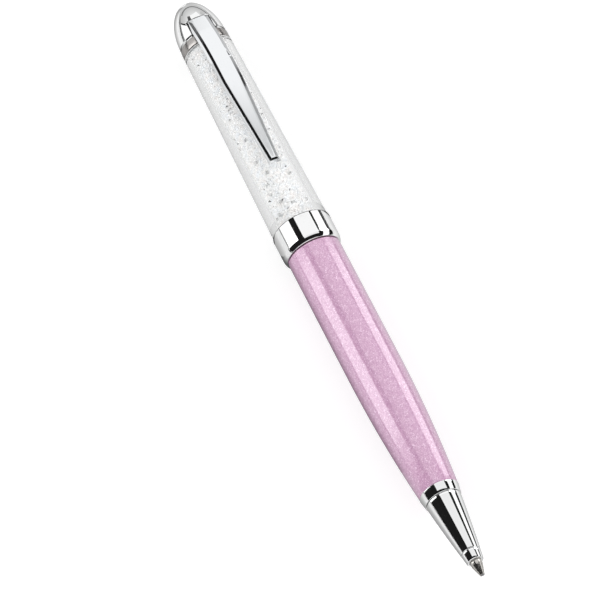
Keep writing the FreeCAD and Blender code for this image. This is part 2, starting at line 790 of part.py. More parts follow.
def make_dome_cap():
    """Hollow half-ellipsoid cap with a slot in its side for the clip's root."""
    neck = "Rad.dome - Size.dome_seam_depth"
    cavity_end = "At.cap_ring_rear + Size.dome_cavity_depth"
    taper_end = f"{cavity_end} + Size.dome_cavity_taper"
    body = turned("dome_cap", [
        ("At.cap_ring_rear", "Rad.dome_cavity"),
        ("At.cap_ring_rear", neck),
        ("At.dome_front", neck),
        ("At.dome_front", "Rad.dome", "quarter"),
        ("At.apex", "0"),
        ("At.stud_rear + Size.slot_gap", "0"),
        ("At.stud_rear + Size.slot_gap", "Rad.stud_bore"),
        (taper_end, "Rad.stud_bore"),
        (taper_end, "Rad.dome_cavity - Size.dome_cavity_taper"),
        (cavity_end, "Rad.dome_cavity"),
    ])
    slot_rear = "At.clip_root + Size.slot_gap"
    slot = outline(new_sketch(body, "XZ_Plane", "clip_slot"), [
        ("At.cap_ring_rear - Size.slot_gap", "Clip.tongue"),
        ("At.cap_ring_rear - Size.slot_gap", "Clip.face"),
        (slot_rear, "Clip.face"),
        (slot_rear, "Clip.tongue"),
    ])
    width = "Size.clip_base_width + 2 * Size.slot_gap"
    extruded(body, "Pocket", "clip_slot_cut", slot, width, symmetric=True)
    return body


def make_cap_stud():
    """Screw that pulls the cap down on to the tube's plug."""
    return rod("cap_stud", "At.stud_front", "At.stud_rear", "Size.stud_radius")


def make_clip_tang():
    """Inner end of the clip: a ring clamped under the cap, with a tongue below the bend."""
    rear = "At.plug_rear + Size.tang_thickness"
    body = turned("clip_tang", sleeve(
        "At.plug_rear",
        rear,
        "Rad.stud_bore",
        "Rad.stud_bore + Size.tang_ring_wall",
    ))
    tongue_end = "At.clip_root + Size.clip_knuckle_radius / 2"
    low = "Clip.tongue - Size.tang_thickness"
    tongue = outline(new_sketch(body, "XZ_Plane", "tongue"), [
        ("At.plug_rear", f"{low} - Size.tang_thickness"),
        ("At.plug_rear", "Clip.tongue"),
        (tongue_end, "Clip.tongue"),
        (tongue_end, low),
        (rear, low),
        (rear, f"{low} - Size.tang_thickness"),
    ])
    extruded(body, "Pad", "tongue_pad", tongue, "Size.tang_width", symmetric=True)
    return body


# ----------------------------------------------------------------- pocket clip
def make_pocket_clip():
    """Sprung channel clip: sloped flanks, tapered to its free end, bent down into the cap."""
    body = new_body("pocket_clip")
    spine = clip_spine(body)
    section = outline(new_sketch(body, "YZ_Plane", "section", offset="At.clip_end"), [
        ("-Size.clip_face_width / 2", "Clip.face"),
        ("Size.clip_face_width / 2", "Clip.face"),
        ("Size.clip_base_width / 2", "Clip.base"),
        ("-Size.clip_base_width / 2", "Clip.base"),
    ])
    strip = body.newObject("PartDesign::AdditivePipe", "pocket_clip_strip")
    strip.Profile = section
    strip.Spine = (spine, [])
    strip.Mode = "Standard"
    taper_clip(body)
    hollow_clip(body)
    add_clip_foot(body)
    add_clip_knuckle(body)
    return body


def clip_spine(body):
    """Line along the clip's face, then the arc that bends down into the cap."""
    sketch = new_sketch(body, "XZ_Plane", "spine")
    end = Vector(number("At.clip_end"), number("Clip.face"), 0)
    bend = Vector(number("At.clip_bend"), number("Clip.face"), 0)
    root = Vector(number("At.clip_root"), number("Clip.root"), 0)
    line = sketch.addGeometry(Part.LineSegment(end, bend))
    radius = number("Clip.bend_radius")
    arc, (near, far) = add_arc(sketch, bend, root, radius, Vector(0, 1, 0))
    sketch.addConstraint(Constraint("Coincident", line, 2, arc, near))
    pin_point(sketch, line, 1, "At.clip_end", "Clip.face")
    pin_point(sketch, line, 2, "At.clip_bend", "Clip.face")
    pin_point(sketch, arc, far, "At.clip_root", "Clip.root")
    rule = sketch.addConstraint(Constraint("Radius", arc, radius))
    sketch.setExpression(f"Constraints[{rule}]", "Clip.bend_radius")
    return sketch


def taper_clip(body):
    """Cut both flanks along sloping lines, so that the clip narrows to its free end."""
    fall = "(Size.clip_face_width - Size.clip_end_width) / 2 / Size.clip_taper_length"
    before = "At.clip_end - Size.clip_depth"
    beyond = "At.clip_taper + 2 * Size.clip_depth"
    outside = "Size.clip_base_width"
    wedge = outline(new_sketch(body, "XY_Plane", "wedge", offset="Clip.face"), [
        (before, f"Size.clip_end_width / 2 - {fall} * Size.clip_depth"),
        (beyond, f"Size.clip_face_width / 2 + {fall} * 2 * Size.clip_depth"),
        (beyond, outside),
        (before, outside),
    ])
    cut = extruded(body, "Pocket", "wedge_cut", wedge, "2 * Size.clip_depth")
    bevel = "atan((Size.clip_base_width - Size.clip_face_width) / 2 / Size.clip_depth)"
    cut.setExpression("TaperAngle", f"-{bevel}")
    mirror = body.newObject("PartDesign::Mirrored", "pocket_clip_wedges")
    mirror.Originals = [cut]
    mirror.MirrorPlane = (wedge, ["H_Axis"])
    body.Tip = mirror


def hollow_clip(body):
    """Open the underside, which leaves a face and two flanks round a channel."""
    inside = "(Clip.bend_radius - Size.clip_wall)"
    low = "Clip.root - Size.clip_depth"
    overlap = "At.clip_taper + Size.clip_knuckle_radius"
    stop = "At.clip_root - Size.clip_root_solid"
    along = f"({stop} - At.clip_bend)"
    stop_height = f"Clip.face - Clip.bend_radius + sqrt({inside} ^ 2 - {along} ^ 2)"
    channel = outline(new_sketch(body, "XZ_Plane", "channel"), [
        ("At.clip_taper", low),
        ("At.clip_taper", "Clip.channel"),
        ("At.clip_bend", "Clip.channel", inside),
        (stop, stop_height),
        (stop, low),
    ])
    extruded(body, "Pocket", "channel_cut", channel, "Size.clip_channel_width", symmetric=True)
    near = "At.clip_end + Size.clip_end_wall"
    narrow = outline(new_sketch(body, "XY_Plane", "narrow", offset="Clip.channel"), [
        (near, "-Size.clip_channel_end_width / 2"),
        (overlap, "-Size.clip_channel_width / 2"),
        (overlap, "Size.clip_channel_width / 2"),
        (near, "Size.clip_channel_end_width / 2"),
    ])
    extruded(body, "Pocket", "narrow_cut", narrow, "2 * Size.clip_depth")


def add_clip_foot(body):
    """Rounded foot under the free end, which bears on the tube."""
    depth = "Size.clip_foot_height"
    foot = outline(new_sketch(body, "XZ_Plane", "foot"), [
        ("At.clip_end", "Clip.base + Size.clip_wall"),
        ("At.clip_end + Size.clip_end_wall", "Clip.base + Size.clip_wall"),
        ("At.clip_end + Size.clip_end_wall", "Clip.base", depth),
        (f"At.clip_end + Size.clip_end_wall - {depth}", "Clip.foot"),
        ("At.clip_end", "Clip.foot"),
    ])
    extruded(body, "Pad", "foot_pad", foot, "Size.clip_end_width", symmetric=True)


def add_clip_knuckle(body):
    """Rolled edge at the root, on which the clip rocks when it is lifted."""
    roll = new_sketch(body, "XZ_Plane", "knuckle")
    add_circle(roll, "At.clip_root - Size.clip_knuckle_radius", "Clip.hinge",
               "Size.clip_knuckle_radius")
    extruded(body, "Pad", "knuckle_pad", roll, "Size.clip_knuckle_width", symmetric=True)


# ---------------------------------------------------------------------- refill
def make_refill_tip():
    """Metal writing point: ball seat, cone and sleeve, with a barb inside the tube."""
    barb = "Rad.refill_bore - Size.fit_gap"
    ball_seat = "Size.ball_radius + Size.fit_gap"
    channel_end = "2 * Size.ball_radius + Size.fit_gap"
    return turned("refill_tip", [
        ("Size.ball_proud", "Size.tip_mouth_radius - Size.tip_mouth_land"),
        ("Size.ball_proud", "Size.tip_mouth_radius"),
        ("At.tip_cone_rear", "Size.refill_radius - Size.fit_gap"),
        ("At.tip_cone_rear + Size.fit_gap", "Size.refill_radius"),
        ("At.tip_sleeve_rear", "Size.refill_radius"),
        ("At.tip_sleeve_rear", barb),
        ("At.tip_barb_rear", barb),
        ("At.tip_barb_rear", "Size.tip_channel_radius"),
        (channel_end, "Size.tip_channel_radius"),
        (channel_end, ball_seat),
        ("Size.ball_radius", ball_seat),
    ])


def make_writing_ball():
    """Free-turning ball in the tip."""
    ball = doc.addObject("Part::Sphere", "writing_ball")
    ball.Label = "writing_ball"
    ball.setExpression("Radius", "Size.ball_radius")
    lay_down(ball, along="Size.ball_radius", turn=FreeCAD.Rotation(Vector(0, 1, 0), 90))
    return ball


def make_refill_tube():
    """Thin straight ink tube between the tip and the plunger."""
    return turned("refill_tube", sleeve(
        "At.tip_sleeve_rear",
        "Size.refill_length",
        "Rad.refill_bore",
        "Size.refill_radius",
    ))


def make_refill_contents():
    """Gel ink behind the tip, and the plug of grease that follows it down the tube."""
    radius = "Rad.refill_bore - Size.fit_gap"
    rod("ink_column", "At.tip_barb_rear", "At.ink_rear", radius)
    rod("grease_follower", "At.ink_rear", "At.ink_rear + Size.grease_length", radius)


def make_refill_end_plug():
    """Vented plug in the refill's rear end."""
    return turned("refill_end_plug", sleeve(
        "Size.refill_length - Size.end_plug_length",
        "Size.refill_length",
        "Size.end_plug_vent_radius",
        "Rad.refill_bore - Size.fit_gap",
    ))


MAKERS = [
    make_end_collar,
    make_nose_cone,
    make_nose_ring,
    make_barrel_insert,
    make_lower_barrel,
    make_mechanism_housing,
    make_cam_sleeve,
    make_retaining_ring,
    make_plunger,
    make_cross_pin,
    make_coupler_bush,
    make_friction_ring,
    make_center_band,
    make_crystal_tube,
    make_lower_plug,
    make_upper_plug,
    make_crystals,
    make_cap_ring,
    make_dome_cap,
    make_cap_stud,
    make_clip_tang,
    make_pocket_clip,
    make_refill_tip,
    make_writing_ball,
    make_refill_tube,
    make_refill_contents,
    make_refill_end_plug,
]

SUB_PART_TYPES = (
    "PartDesign::Body",
    "Part::Cylinder",
    "Part::Torus",
    "Part::Sphere",
    "Part::Feature",
)


def sub_parts():
    """Objects that are pieces of the pen, not features inside a body."""
    return [item for item in doc.Objects if item.TypeId in SUB_PART_TYPES]


def check_document():
    """Stop on any object that failed, and on any piece that isn't a valid solid."""
    failed = [item.Name for item in doc.Objects if {"Invalid", "Error"} & set(item.State)]
    if failed:
        raise RuntimeError(f"failed objects: {failed}")
    for part in sub_parts():
        if part.Shape.isNull() or not part.Shape.isValid() or not part.Shape.Solids:
            raise RuntimeError(f"no valid solid: {part.Label}")


def write_steps():
    """One STEP file for each piece, named by its Label."""
    os.makedirs("parts", exist_ok=True)
    for part in sub_parts():
        part.Shape.exportStep(f"parts/{part.Label}.step")
        box = part.Shape.optimalBoundingBox()
        print(
            f"{part.Label:18s} solids {len(part.Shape.Solids):3d}  "
            f"volume {part.Shape.Volume:9.3f}  x {box.XMin:8.3f} {box.XMax:8.3f}  "
            f"y {box.YMin:6.2f} {box.YMax:6.2f}  z {box.ZMin:6.2f} {box.ZMax:6.2f}"
        )


for maker in MAKERS:
    maker()
doc.recompute()
check_document()
write_steps()
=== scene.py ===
# %% [markdown]
# A twist pen. Its lower half is a lacquered metal barrel with a chrome nose, and its upper
# half is a thick clear tube filled with small cut crystals, closed by a chrome dome with a
# sprung clip. The mechanism, the refill and every joint come ready made as the frame, and
# this lesson gives the pen its finish: smooth turned surfaces, cut stones, lacquer, chrome
# and the light that makes them readable.

import json
import math
import random

import bmesh
import bpy
from mathutils import Euler, Matrix, Vector


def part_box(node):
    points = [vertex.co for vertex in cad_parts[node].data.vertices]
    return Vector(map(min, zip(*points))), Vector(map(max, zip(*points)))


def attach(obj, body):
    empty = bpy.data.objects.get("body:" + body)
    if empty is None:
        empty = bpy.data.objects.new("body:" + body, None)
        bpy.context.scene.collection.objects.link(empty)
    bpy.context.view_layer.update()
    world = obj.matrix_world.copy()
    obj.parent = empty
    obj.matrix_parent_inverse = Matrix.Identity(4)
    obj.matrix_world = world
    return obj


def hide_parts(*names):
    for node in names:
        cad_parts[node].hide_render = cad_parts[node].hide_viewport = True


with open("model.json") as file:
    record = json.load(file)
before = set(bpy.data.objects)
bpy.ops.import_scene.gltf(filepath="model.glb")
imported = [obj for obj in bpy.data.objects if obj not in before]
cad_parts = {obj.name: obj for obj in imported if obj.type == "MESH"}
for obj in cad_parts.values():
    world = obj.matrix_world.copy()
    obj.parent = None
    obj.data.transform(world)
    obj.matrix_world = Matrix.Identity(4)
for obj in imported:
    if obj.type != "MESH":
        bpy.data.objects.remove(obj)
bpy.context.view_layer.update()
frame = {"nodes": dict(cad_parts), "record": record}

# %% [markdown]
# Every piece of the pen but its clip is round about one axis, so it is easiest to describe in
# two numbers: how far back from the writing point it lies, and how far out from the axis. Both
# are kept in millimetres here, and are turned into the frame's metres at the last moment. The
# band is the widest piece and touches the floor, so the axis runs at half the band's height.

# %% Measuring along the pen
MM = 0.001
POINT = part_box("writing_ball")[1].x
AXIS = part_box("center_band")[1].z / 2


def front(node):
    """Distance in mm from the writing point to the node's near end."""
    return (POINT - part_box(node)[1].x) / MM


def rear(node):
    """Distance in mm from the writing point to the node's far end."""
    return (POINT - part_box(node)[0].x) / MM


def radius(node):
    """Half the node's width in mm."""
    low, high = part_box(node)
    return (high.y - low.y) / 2 / MM


def place(back, up, across=0):
    """Point of the frame, from mm back along the pen, mm up from its axis and mm across it."""
    return Vector((POINT - back * MM, across * MM, AXIS + up * MM))


print("pen", round(rear("dome_cap"), 2), "mm long, band", round(2 * radius("center_band"), 2))

# %% [markdown]
# The camera comes first, because it decides what has to be right. A long lens from above one
# side keeps the pen's edges almost parallel, as a catalogue shows small things, and the
# writing point leans a little towards us.

# %% Camera
CAMERA_SIDE = Vector((0.4656, -0.2090, 0.8600)).normalized()
CAMERA_AIM = Vector((-0.0012, -0.0064, 0.0044))
CAMERA_DISTANCE = 5.0
FRAMED_WIDTH = 0.1156


def aimed(name, data, location, direction):
    """Object for a camera or a lamp that looks along a direction, with its top up."""
    holder = bpy.data.objects.new(name, data)
    holder.location = location
    holder.rotation_mode = "QUATERNION"
    holder.rotation_quaternion = direction.to_track_quat("-Z", "Y")
    bpy.context.scene.collection.objects.link(holder)
    return holder


camera_data = bpy.data.cameras.new("camera")
camera_data.sensor_width = 36
camera_data.lens = camera_data.sensor_width * CAMERA_DISTANCE / FRAMED_WIDTH
camera_data.clip_start = 0.1
camera_data.clip_end = 50
eye = CAMERA_AIM + CAMERA_SIDE * CAMERA_DISTANCE
bpy.context.scene.camera = aimed("camera", camera_data, eye, -CAMERA_SIDE)
bpy.context.scene.view_settings.view_transform = "Standard"
print("lens", round(camera_data.lens), "mm")

# %% [markdown]
# A finish is a material built of nodes. Each could be filled in by hand, socket by socket, but
# all of them need the same few steps, so short helpers take those. The first helpers make a
# Principled shader with plain values, add a node, and join an output to an input.

# %% Helpers for a plain finish


def shader_of(finish):
    """The finish's Principled shader."""
    return finish.node_tree.nodes["Principled BSDF"]


def new_finish(name, colour, **sockets):
    """Material with one Principled shader; underscores stand for the sockets' spaces."""
    finish = bpy.data.materials.new(name)
    finish.use_nodes = True
    shader_of(finish).inputs["Base Color"].default_value = (*colour, 1)
    for socket, value in sockets.items():
        shader_of(finish).inputs[socket.replace("_", " ")].default_value = value
    print("finish", name)
    return finish


def add_node(finish, kind, **settings):
    """Node in the finish's tree, with settings given as its properties."""
    node = finish.node_tree.nodes.new(f"ShaderNode{kind}")
    for key, value in settings.items():
        setattr(node, key, value)
    return node


def join(finish, output, target):
    """Link between two sockets of the finish's tree."""
    finish.node_tree.links.new(output, target)


# %% [markdown]
# No real surface is quite even. What varies over it is read from a pattern in object
# coordinates, where one unit is a metre: a noise, and a ramp that turns its grey into the
# values wanted. Drawn out along one axis, the same noise becomes the fine lines that a lathe
# or a polishing mop leaves.

# %% Helpers for a pattern
GRAIN_DETAIL = 3.0
GRAIN_LOW, GRAIN_HIGH = 0.3, 0.7


def stretched(finish, scale=(1, 1, 1)):
    """Object coordinates multiplied along X, Y and Z."""
    where = add_node(finish, "TexCoord")
    mapping = add_node(finish, "Mapping")
    mapping.inputs["Scale"].default_value = scale
    join(finish, where.outputs["Object"], mapping.inputs["Vector"])
    return mapping.outputs["Vector"]


def noise(finish, scale, detail, stretch=(1, 1, 1)):
    """Grey noise from 0 to 1; scale counts its waves in each metre."""
    node = add_node(finish, "TexNoise")
    node.inputs["Scale"].default_value = scale
    node.inputs["Detail"].default_value = detail
    join(finish, stretched(finish, stretch), node.inputs["Vector"])
    return node.outputs["Fac"]


def ramp(finish, value, stops):
    """Colour ramp through (place, grey or colour) stops."""
    node = add_node(finish, "ValToRGB")
    elements = node.color_ramp.elements
    for index, (spot, shade) in enumerate(stops):
        element = elements[index] if index < 2 else elements.new(spot)
        element.position = spot
        rgb = shade if isinstance(shade, tuple) else (shade, shade, shade)
        element.color = (*rgb, 1)
    join(finish, value, node.inputs["Fac"])
    return node.outputs["Color"]


def wear(name, colour, rough, scale, depth, stretch=(1, 1, 1), **sockets):
    """Finish whose roughness wanders between two values, with a grain of a depth in metres."""
    finish = new_finish(name, colour, **sockets)
    grain = noise(finish, scale, GRAIN_DETAIL, stretch)
    uneven = ramp(finish, grain, [(GRAIN_LOW, rough[0]), (GRAIN_HIGH, rough[1])])
    join(finish, uneven, shader_of(finish).inputs["Roughness"])
    bump = add_node(finish, "Bump")
    bump.inputs["Distance"].default_value = depth
    join(finish, grain, bump.inputs["Height"])
    join(finish, bump.outputs["Normal"], shader_of(finish).inputs["Normal"])
    return finish


# %% [markdown]
# Chrome has hardly any colour of its own. What shows is a mirror image of the studio, and a
# perfect mirror would look like liquid. So that image is broken up a little, by a polishing
# haze and very fine lines: round the axis on turned pieces, and along the clip.

# %% Chrome
POLISH_SCALE = 900
POLISH_DEPTH = 4e-8
ROUND_LINES = (6, 1, 1)
LONG_LINES = (1, 6, 1)

chrome = wear(
    "polished_chrome", (0.88, 0.885, 0.885), rough=(0.015, 0.05), scale=POLISH_SCALE,
    depth=POLISH_DEPTH, stretch=ROUND_LINES, Metallic=1.0,
)
clip_chrome = wear(
    "clip_chrome", (0.85, 0.865, 0.88), rough=(0.02, 0.06), scale=POLISH_SCALE,
    depth=POLISH_DEPTH, stretch=LONG_LINES, Metallic=1.0,
)

# %% [markdown]
# One ring at the cap is darker and duller than the rest. It was turned and left with its fine
# lines instead of being polished, so it is the same finish with a rougher, darker setting.

# %% Satin collar
SATIN_DEPTH = 1e-7

satin = wear(
    "satin_collar", (0.34, 0.325, 0.315), rough=(0.14, 0.24), scale=POLISH_SCALE,
    depth=SATIN_DEPTH, stretch=ROUND_LINES, Metallic=1.0,
)

# %% [markdown]
# The lacquer is a pearl pink: a soft metallic base with tiny flakes in it, under a thick
# clear coat. The flakes could be painted as an image, but cells of a fine Voronoi pattern
# stay sharp from any distance, each a little lighter or darker than the next. The coat gives
# the sharp light strips, the flakes the broad glow.

# %% Pearl lacquer
PEARL_PINK = (0.62, 0.36, 0.535)
FLAKE_SCALE = 6500

lacquer = new_finish(
    "pearl_pink_lacquer", PEARL_PINK,
    Metallic=0.2, Roughness=0.45, Coat_Weight=1.0, Coat_Roughness=0.05, Coat_IOR=1.8,
)
flakes = add_node(lacquer, "TexVoronoi")
flakes.inputs["Scale"].default_value = FLAKE_SCALE
join(lacquer, stretched(lacquer), flakes.inputs["Vector"])
cell_shade = add_node(lacquer, "SeparateColor")
join(lacquer, flakes.outputs["Color"], cell_shade.inputs["Color"])
pinks = ramp(lacquer, cell_shade.outputs["Red"], [
    (0.0, (0.54, 0.27, 0.455)),
    (0.55, PEARL_PINK),
    (0.9, (0.74, 0.47, 0.65)),
    (1.0, (0.92, 0.7, 0.86)),
])
join(lacquer, pinks, shader_of(lacquer).inputs["Base Color"])

# %% [markdown]
# The tube is clear acrylic with a thick wall. The crystals lie in its wide bore, and pale grey
# bands show along both sides, where one looks through nothing but wall. A thin shell would
# miss them, so the shader is given the acrylic's refraction and the mesh its real wall. The
# tube's rear end gets an opaque, pale, rough finish instead: painted light, which keeps that
# end from showing dark through the wall.

# %% Acrylic
acrylic = new_finish(
    "clear_acrylic", (0.985, 0.99, 0.99),
    Roughness=0.0, IOR=1.49, Transmission_Weight=1.0,
)
# Opaque pale finish for the tube's rear end: painted light where it would show dark.
pale_painted_light = new_finish("opaque_painted_light", (0.9, 0.91, 0.91), Roughness=0.6)

# %% [markdown]
# Cut stones throw light at each other until hardly any shade is left between them. Clear
# glass for every stone would be true to life, but a render cuts those long paths short and
# leaves the heap dark. So most stones are white and glossy, with the faintest warm and cold
# tints, and glow a little: the white and the glow are painted light, in place of the light
# that the stones throw at each other. Some are clear, and some facets are painted near black,
# a painted reflection of the dark side of the room.

# %% Crystal
TINT_SCALE = 900
TINT_DETAIL = 1.0

# The stones' glow is painted light, in place of the light that they throw at each other.
crystal = new_finish(
    "cut_crystal", (1, 1, 1), Roughness=0.02, IOR=1.6, Transmission_Weight=0.0,
    Emission_Color=(1, 1, 1, 1), Emission_Strength=0.1,
)
tint = ramp(crystal, noise(crystal, TINT_SCALE, TINT_DETAIL), [
    (0.3, (0.95, 0.97, 1.0)),
    (0.5, (1.0, 1.0, 1.0)),
    (0.7, (1.0, 0.97, 0.955)),
])
join(crystal, tint, shader_of(crystal).inputs["Base Color"])
clear_crystal = new_finish(
    "clear_crystal", (1, 1, 1), Roughness=0.0, IOR=1.6, Transmission_Weight=0.9,
)
# Near-black facets: a painted reflection of the dark side of the room.
painted_reflection_facet = new_finish("painted_reflection_facet", (0.02, 0.02, 0.022), Roughness=0.05, IOR=1.6)

# %% [markdown]
# The rest of the pen is hidden or nearly so, but each piece still gets the finish it has on
# a bench: turned brass and steel with lines round them, moulded plastics with a faint grain.
# Grain is counted in waves for each metre, and its depth is in metres too.

# %% Finishes of the inner pieces
TURNED_LINES = (8, 1, 1)

steel = wear("turned_steel", (0.62, 0.60, 0.57), rough=(0.16, 0.3), scale=1500, depth=2e-7,
             stretch=TURNED_LINES, Metallic=1.0)
brass = wear("turned_brass", (0.75, 0.58, 0.30), rough=(0.2, 0.34), scale=1500, depth=3e-7,
             stretch=TURNED_LINES, Metallic=1.0)
carbide = wear("ground_carbide", (0.32, 0.32, 0.33), rough=(0.08, 0.16), scale=9000,
               depth=5e-8, Metallic=1.0)
acetal = wear("moulded_acetal", (0.85, 0.85, 0.81), rough=(0.35, 0.5), scale=2500, depth=1e-6)
white_plastic = wear("white_plastic", (0.9, 0.9, 0.9), rough=(0.25, 0.4), scale=2500,
                     depth=1e-6)
ring_rubber = wear("ring_rubber", (0.03, 0.03, 0.03), rough=(0.6, 0.8), scale=5000,
                   depth=3e-6)
refill_plastic = wear("refill_plastic", (0.86, 0.88, 0.9), rough=(0.2, 0.35), scale=2500,
                      depth=1e-6, Transmission_Weight=0.5)
gel_ink = wear("gel_ink", (0.01, 0.01, 0.014), rough=(0.1, 0.2), scale=1200, depth=1e-6)
grease = wear("amber_grease", (0.75, 0.62, 0.3), rough=(0.15, 0.3), scale=1200, depth=1e-6,
              Transmission_Weight=0.6)

# %% [markdown]
# The frame's own pieces name a slot each, which is a kind of material. They could be coloured
# one by one, but a dictionary from slot to finish does it in one loop and misses none.

# %% A finish for every node of the frame
FINISH_OF_SLOT = {
    "chrome": chrome,
    "pearl_lacquer": lacquer,
    "clear_acrylic": acrylic,
    "cut_crystal": crystal,
    "brass": brass,
    "steel": steel,
    "carbide": carbide,
    "acetal": acetal,
    "white_plastic": white_plastic,
    "ring_rubber": ring_rubber,
    "refill_plastic": refill_plastic,
    "gel_ink": gel_ink,
    "grease": grease,
}
for row in frame["record"]["subparts"]:
    node = frame["nodes"][row["node"]]
    node.data.materials.clear()
    node.data.materials.append(FINISH_OF_SLOT[row["material_slot"]])

# %% [markdown]
# A finished mesh becomes an object, gets its finish, and is hung on the body that carries it,
# while the piece of the frame that it stands for is hidden. Edges sharper than a set angle stay
# crisp, and all other shading runs smoothly across.

# %% From a mesh to a piece of the pen
SHARP_ANGLE = math.radians(38)


def settle(bm, name):
    """New object from a finished bmesh, smooth apart from its real corners."""
    mesh = bpy.data.meshes.new(name)
    bm.to_mesh(mesh)
    bm.free()
    mesh.shade_smooth()
    mesh.set_sharp_from_angle(angle=SHARP_ANGLE)
    piece = bpy.data.objects.new(name, mesh)
    bpy.context.scene.collection.objects.link(piece)
    return piece


def coat(piece, *finishes):
    """Give a piece its finishes; its faces name them by number, in this order from 0."""
    for finish in finishes:
        piece.data.materials.append(finish)


def dress(piece, node, body, slot, *finishes):
    """Finish a piece, hang it on the body it rides on, and hide the node that it stands for."""
    coat(piece, *finishes)
    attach(piece, body)
    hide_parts(node)
    print(piece.name, len(piece.data.polygons), "faces")


# %% [markdown]
# A turned part starts as half of its section, a closed outline with a few corners, and a spin
# about the axis makes the solid. Real edges are never quite sharp: a small radius at a
# corner catches a thin line of light. So a corner may carry a third number, the radius of
# the arc that replaces it. Broad faces then rule the shading, so that these small roundings
# don't bend the reflections beside them.

# %% Turning an outline into a solid
TURN_STEPS = 128
ROUNDING_STEPS = 4
MERGE_GAP = 1e-7


def turned_bmesh(corners):
    """Closed solid of revolution about the pen's axis from outline corners in mm."""
    bm = bmesh.new()
    ring = [bm.verts.new(place(*corner[:2])) for corner in corners]
    for index in range(len(ring)):
        bm.edges.new((ring[index - 1], ring[index]))
    for vert, corner in zip(ring, corners):
        if len(corner) == 3:
            bmesh.ops.bevel(
                bm, geom=[vert], offset=corner[2] * MM, offset_type="OFFSET",
                segments=ROUNDING_STEPS, profile=0.5, affect="VERTICES", material=-1)
    bmesh.ops.spin(
        bm, geom=bm.verts[:] + bm.edges[:], cent=(0, 0, AXIS), axis=(1, 0, 0),
        angle=2 * math.pi, steps=TURN_STEPS, use_merge=True)
    bmesh.ops.remove_doubles(bm, verts=bm.verts, dist=MERGE_GAP)
    bmesh.ops.dissolve_degenerate(bm, edges=bm.edges, dist=MERGE_GAP)
    bmesh.ops.recalc_face_normals(bm, faces=bm.faces)
    return bm


def even_shading(piece):
    """Let broad faces rule the shading of a piece."""
    weighted = piece.modifiers.new("even_shading", "WEIGHTED_NORMAL")
    weighted.keep_sharp = True


def turned(name, node, body, slot, finish, corners):
    """Turned piece in place of a node."""
    piece = settle(turned_bmesh(corners), name)
    even_shading(piece)
    dress(piece, node, body, slot, finish)
    return piece


# %% [markdown]
# The collar is the nose's front end: a short chrome ring whose mouth is rounded over towards
# the refill's steel point. A narrower spigot behind it goes into the cone, and the fine groove
# that is left between them reads as a dark seam.

# %% Collar
EDGE = 0.18
FINE_EDGE = 0.05
FIT_GAP = 0.02
COLLAR_LENGTH = 2.1
COLLAR_MOUTH_EDGE = 0.06
COLLAR_FRONT_RADIUS = 1.72
COLLAR_NECK_RADIUS = 1.86
COLLAR_SPIGOT_RADIUS = 1.635
COLLAR_BORE = 1.235

collar_front = front("end_collar")
collar_rear = collar_front + COLLAR_LENGTH
cone_front = front("nose_cone")
turned("nose_collar", "end_collar", "barrel", "chrome", chrome, [
    (collar_front, COLLAR_BORE, COLLAR_MOUTH_EDGE),
    (collar_front, COLLAR_FRONT_RADIUS, EDGE),
    (collar_rear, radius("end_collar"), FINE_EDGE),
    (collar_rear, COLLAR_NECK_RADIUS),
    (cone_front, COLLAR_NECK_RADIUS),
    (cone_front, COLLAR_SPIGOT_RADIUS),
    (rear("end_collar"), COLLAR_SPIGOT_RADIUS),
    (rear("end_collar"), COLLAR_BORE),
])

# %% [markdown]
# The cone looks straight but swells by less than a tenth of a millimetre, and a mirror shows
# even that. A spline with handles would give the curve as well, but points on a shallow bow
# between the two ends are simpler and can be counted.

# %% Cone
CONE_FRONT_RADIUS = 2.06
CONE_RISE = 0.063
CONE_STEPS = 24
CONE_REAR_EDGE = 0.1
CONE_BORE = 1.9
CONE_REAR_BORE = 2.62
CONE_REAR_BORE_DEPTH = 4.7
END_GAP = 0.1


def bowed(start, end, rise, steps):
    """Points strictly between start and end, on a bow that stands rise mm out of the chord."""
    start, end = Vector(start), Vector(end)
    chord = end - start
    out = Vector((-chord.y, chord.x)).normalized()
    points = []
    for step in range(1, steps):
        share = step / steps
        points.append(tuple(start + chord * share + out * (4 * rise * share * (1 - share))))
    return points


cone_rear = rear("nose_cone")
cone_radius = radius("nose_cone")
cone_ends = (cone_front, CONE_FRONT_RADIUS), (cone_rear, cone_radius)
cone_step = cone_rear - CONE_REAR_BORE_DEPTH
spigot_end = rear("end_collar") + END_GAP
turned("nose_taper", "nose_cone", "barrel", "chrome", chrome, [
    (cone_front, COLLAR_SPIGOT_RADIUS + FIT_GAP),
    (cone_front, CONE_FRONT_RADIUS, FINE_EDGE),
    *bowed(*cone_ends, CONE_RISE, CONE_STEPS),
    (cone_rear, cone_radius, CONE_REAR_EDGE),
    (cone_rear, CONE_REAR_BORE),
    (cone_step, CONE_REAR_BORE),
    (cone_step, CONE_BORE),
    (spigot_end, CONE_BORE),
    (spigot_end, COLLAR_SPIGOT_RADIUS + FIT_GAP),
])

# %% [markdown]
# A chrome ring closes the nose against the barrel. It starts with a neck a little narrower
# than the cone, which leaves a seam, and then slopes out to the barrel's width.

# %% Ring of the nose
SEAM = 0.14
RING_NECK_RADIUS = 3.32
RING_FRONT_RADIUS = 3.78
RING_FRONT_EDGE = 0.1

ring_front = front("nose_ring")
turned("nose_band", "nose_ring", "barrel", "chrome", chrome, [
    (ring_front, CONE_REAR_BORE),
    (ring_front, RING_NECK_RADIUS),
    (ring_front + SEAM, RING_NECK_RADIUS),
    (ring_front + SEAM, RING_FRONT_RADIUS, RING_FRONT_EDGE),
    (rear("nose_ring"), radius("nose_ring"), EDGE),
    (rear("nose_ring"), CONE_REAR_BORE),
])

# %% [markdown]
# The refill's point looks out of the collar: a sleeve, a cone, and a mouth that holds the
# ball. It is spun like the nose, with the seat and the ink's channel in the same outline. The
# ball itself is only 0.7 mm across, so an ordinary sphere is fine enough.

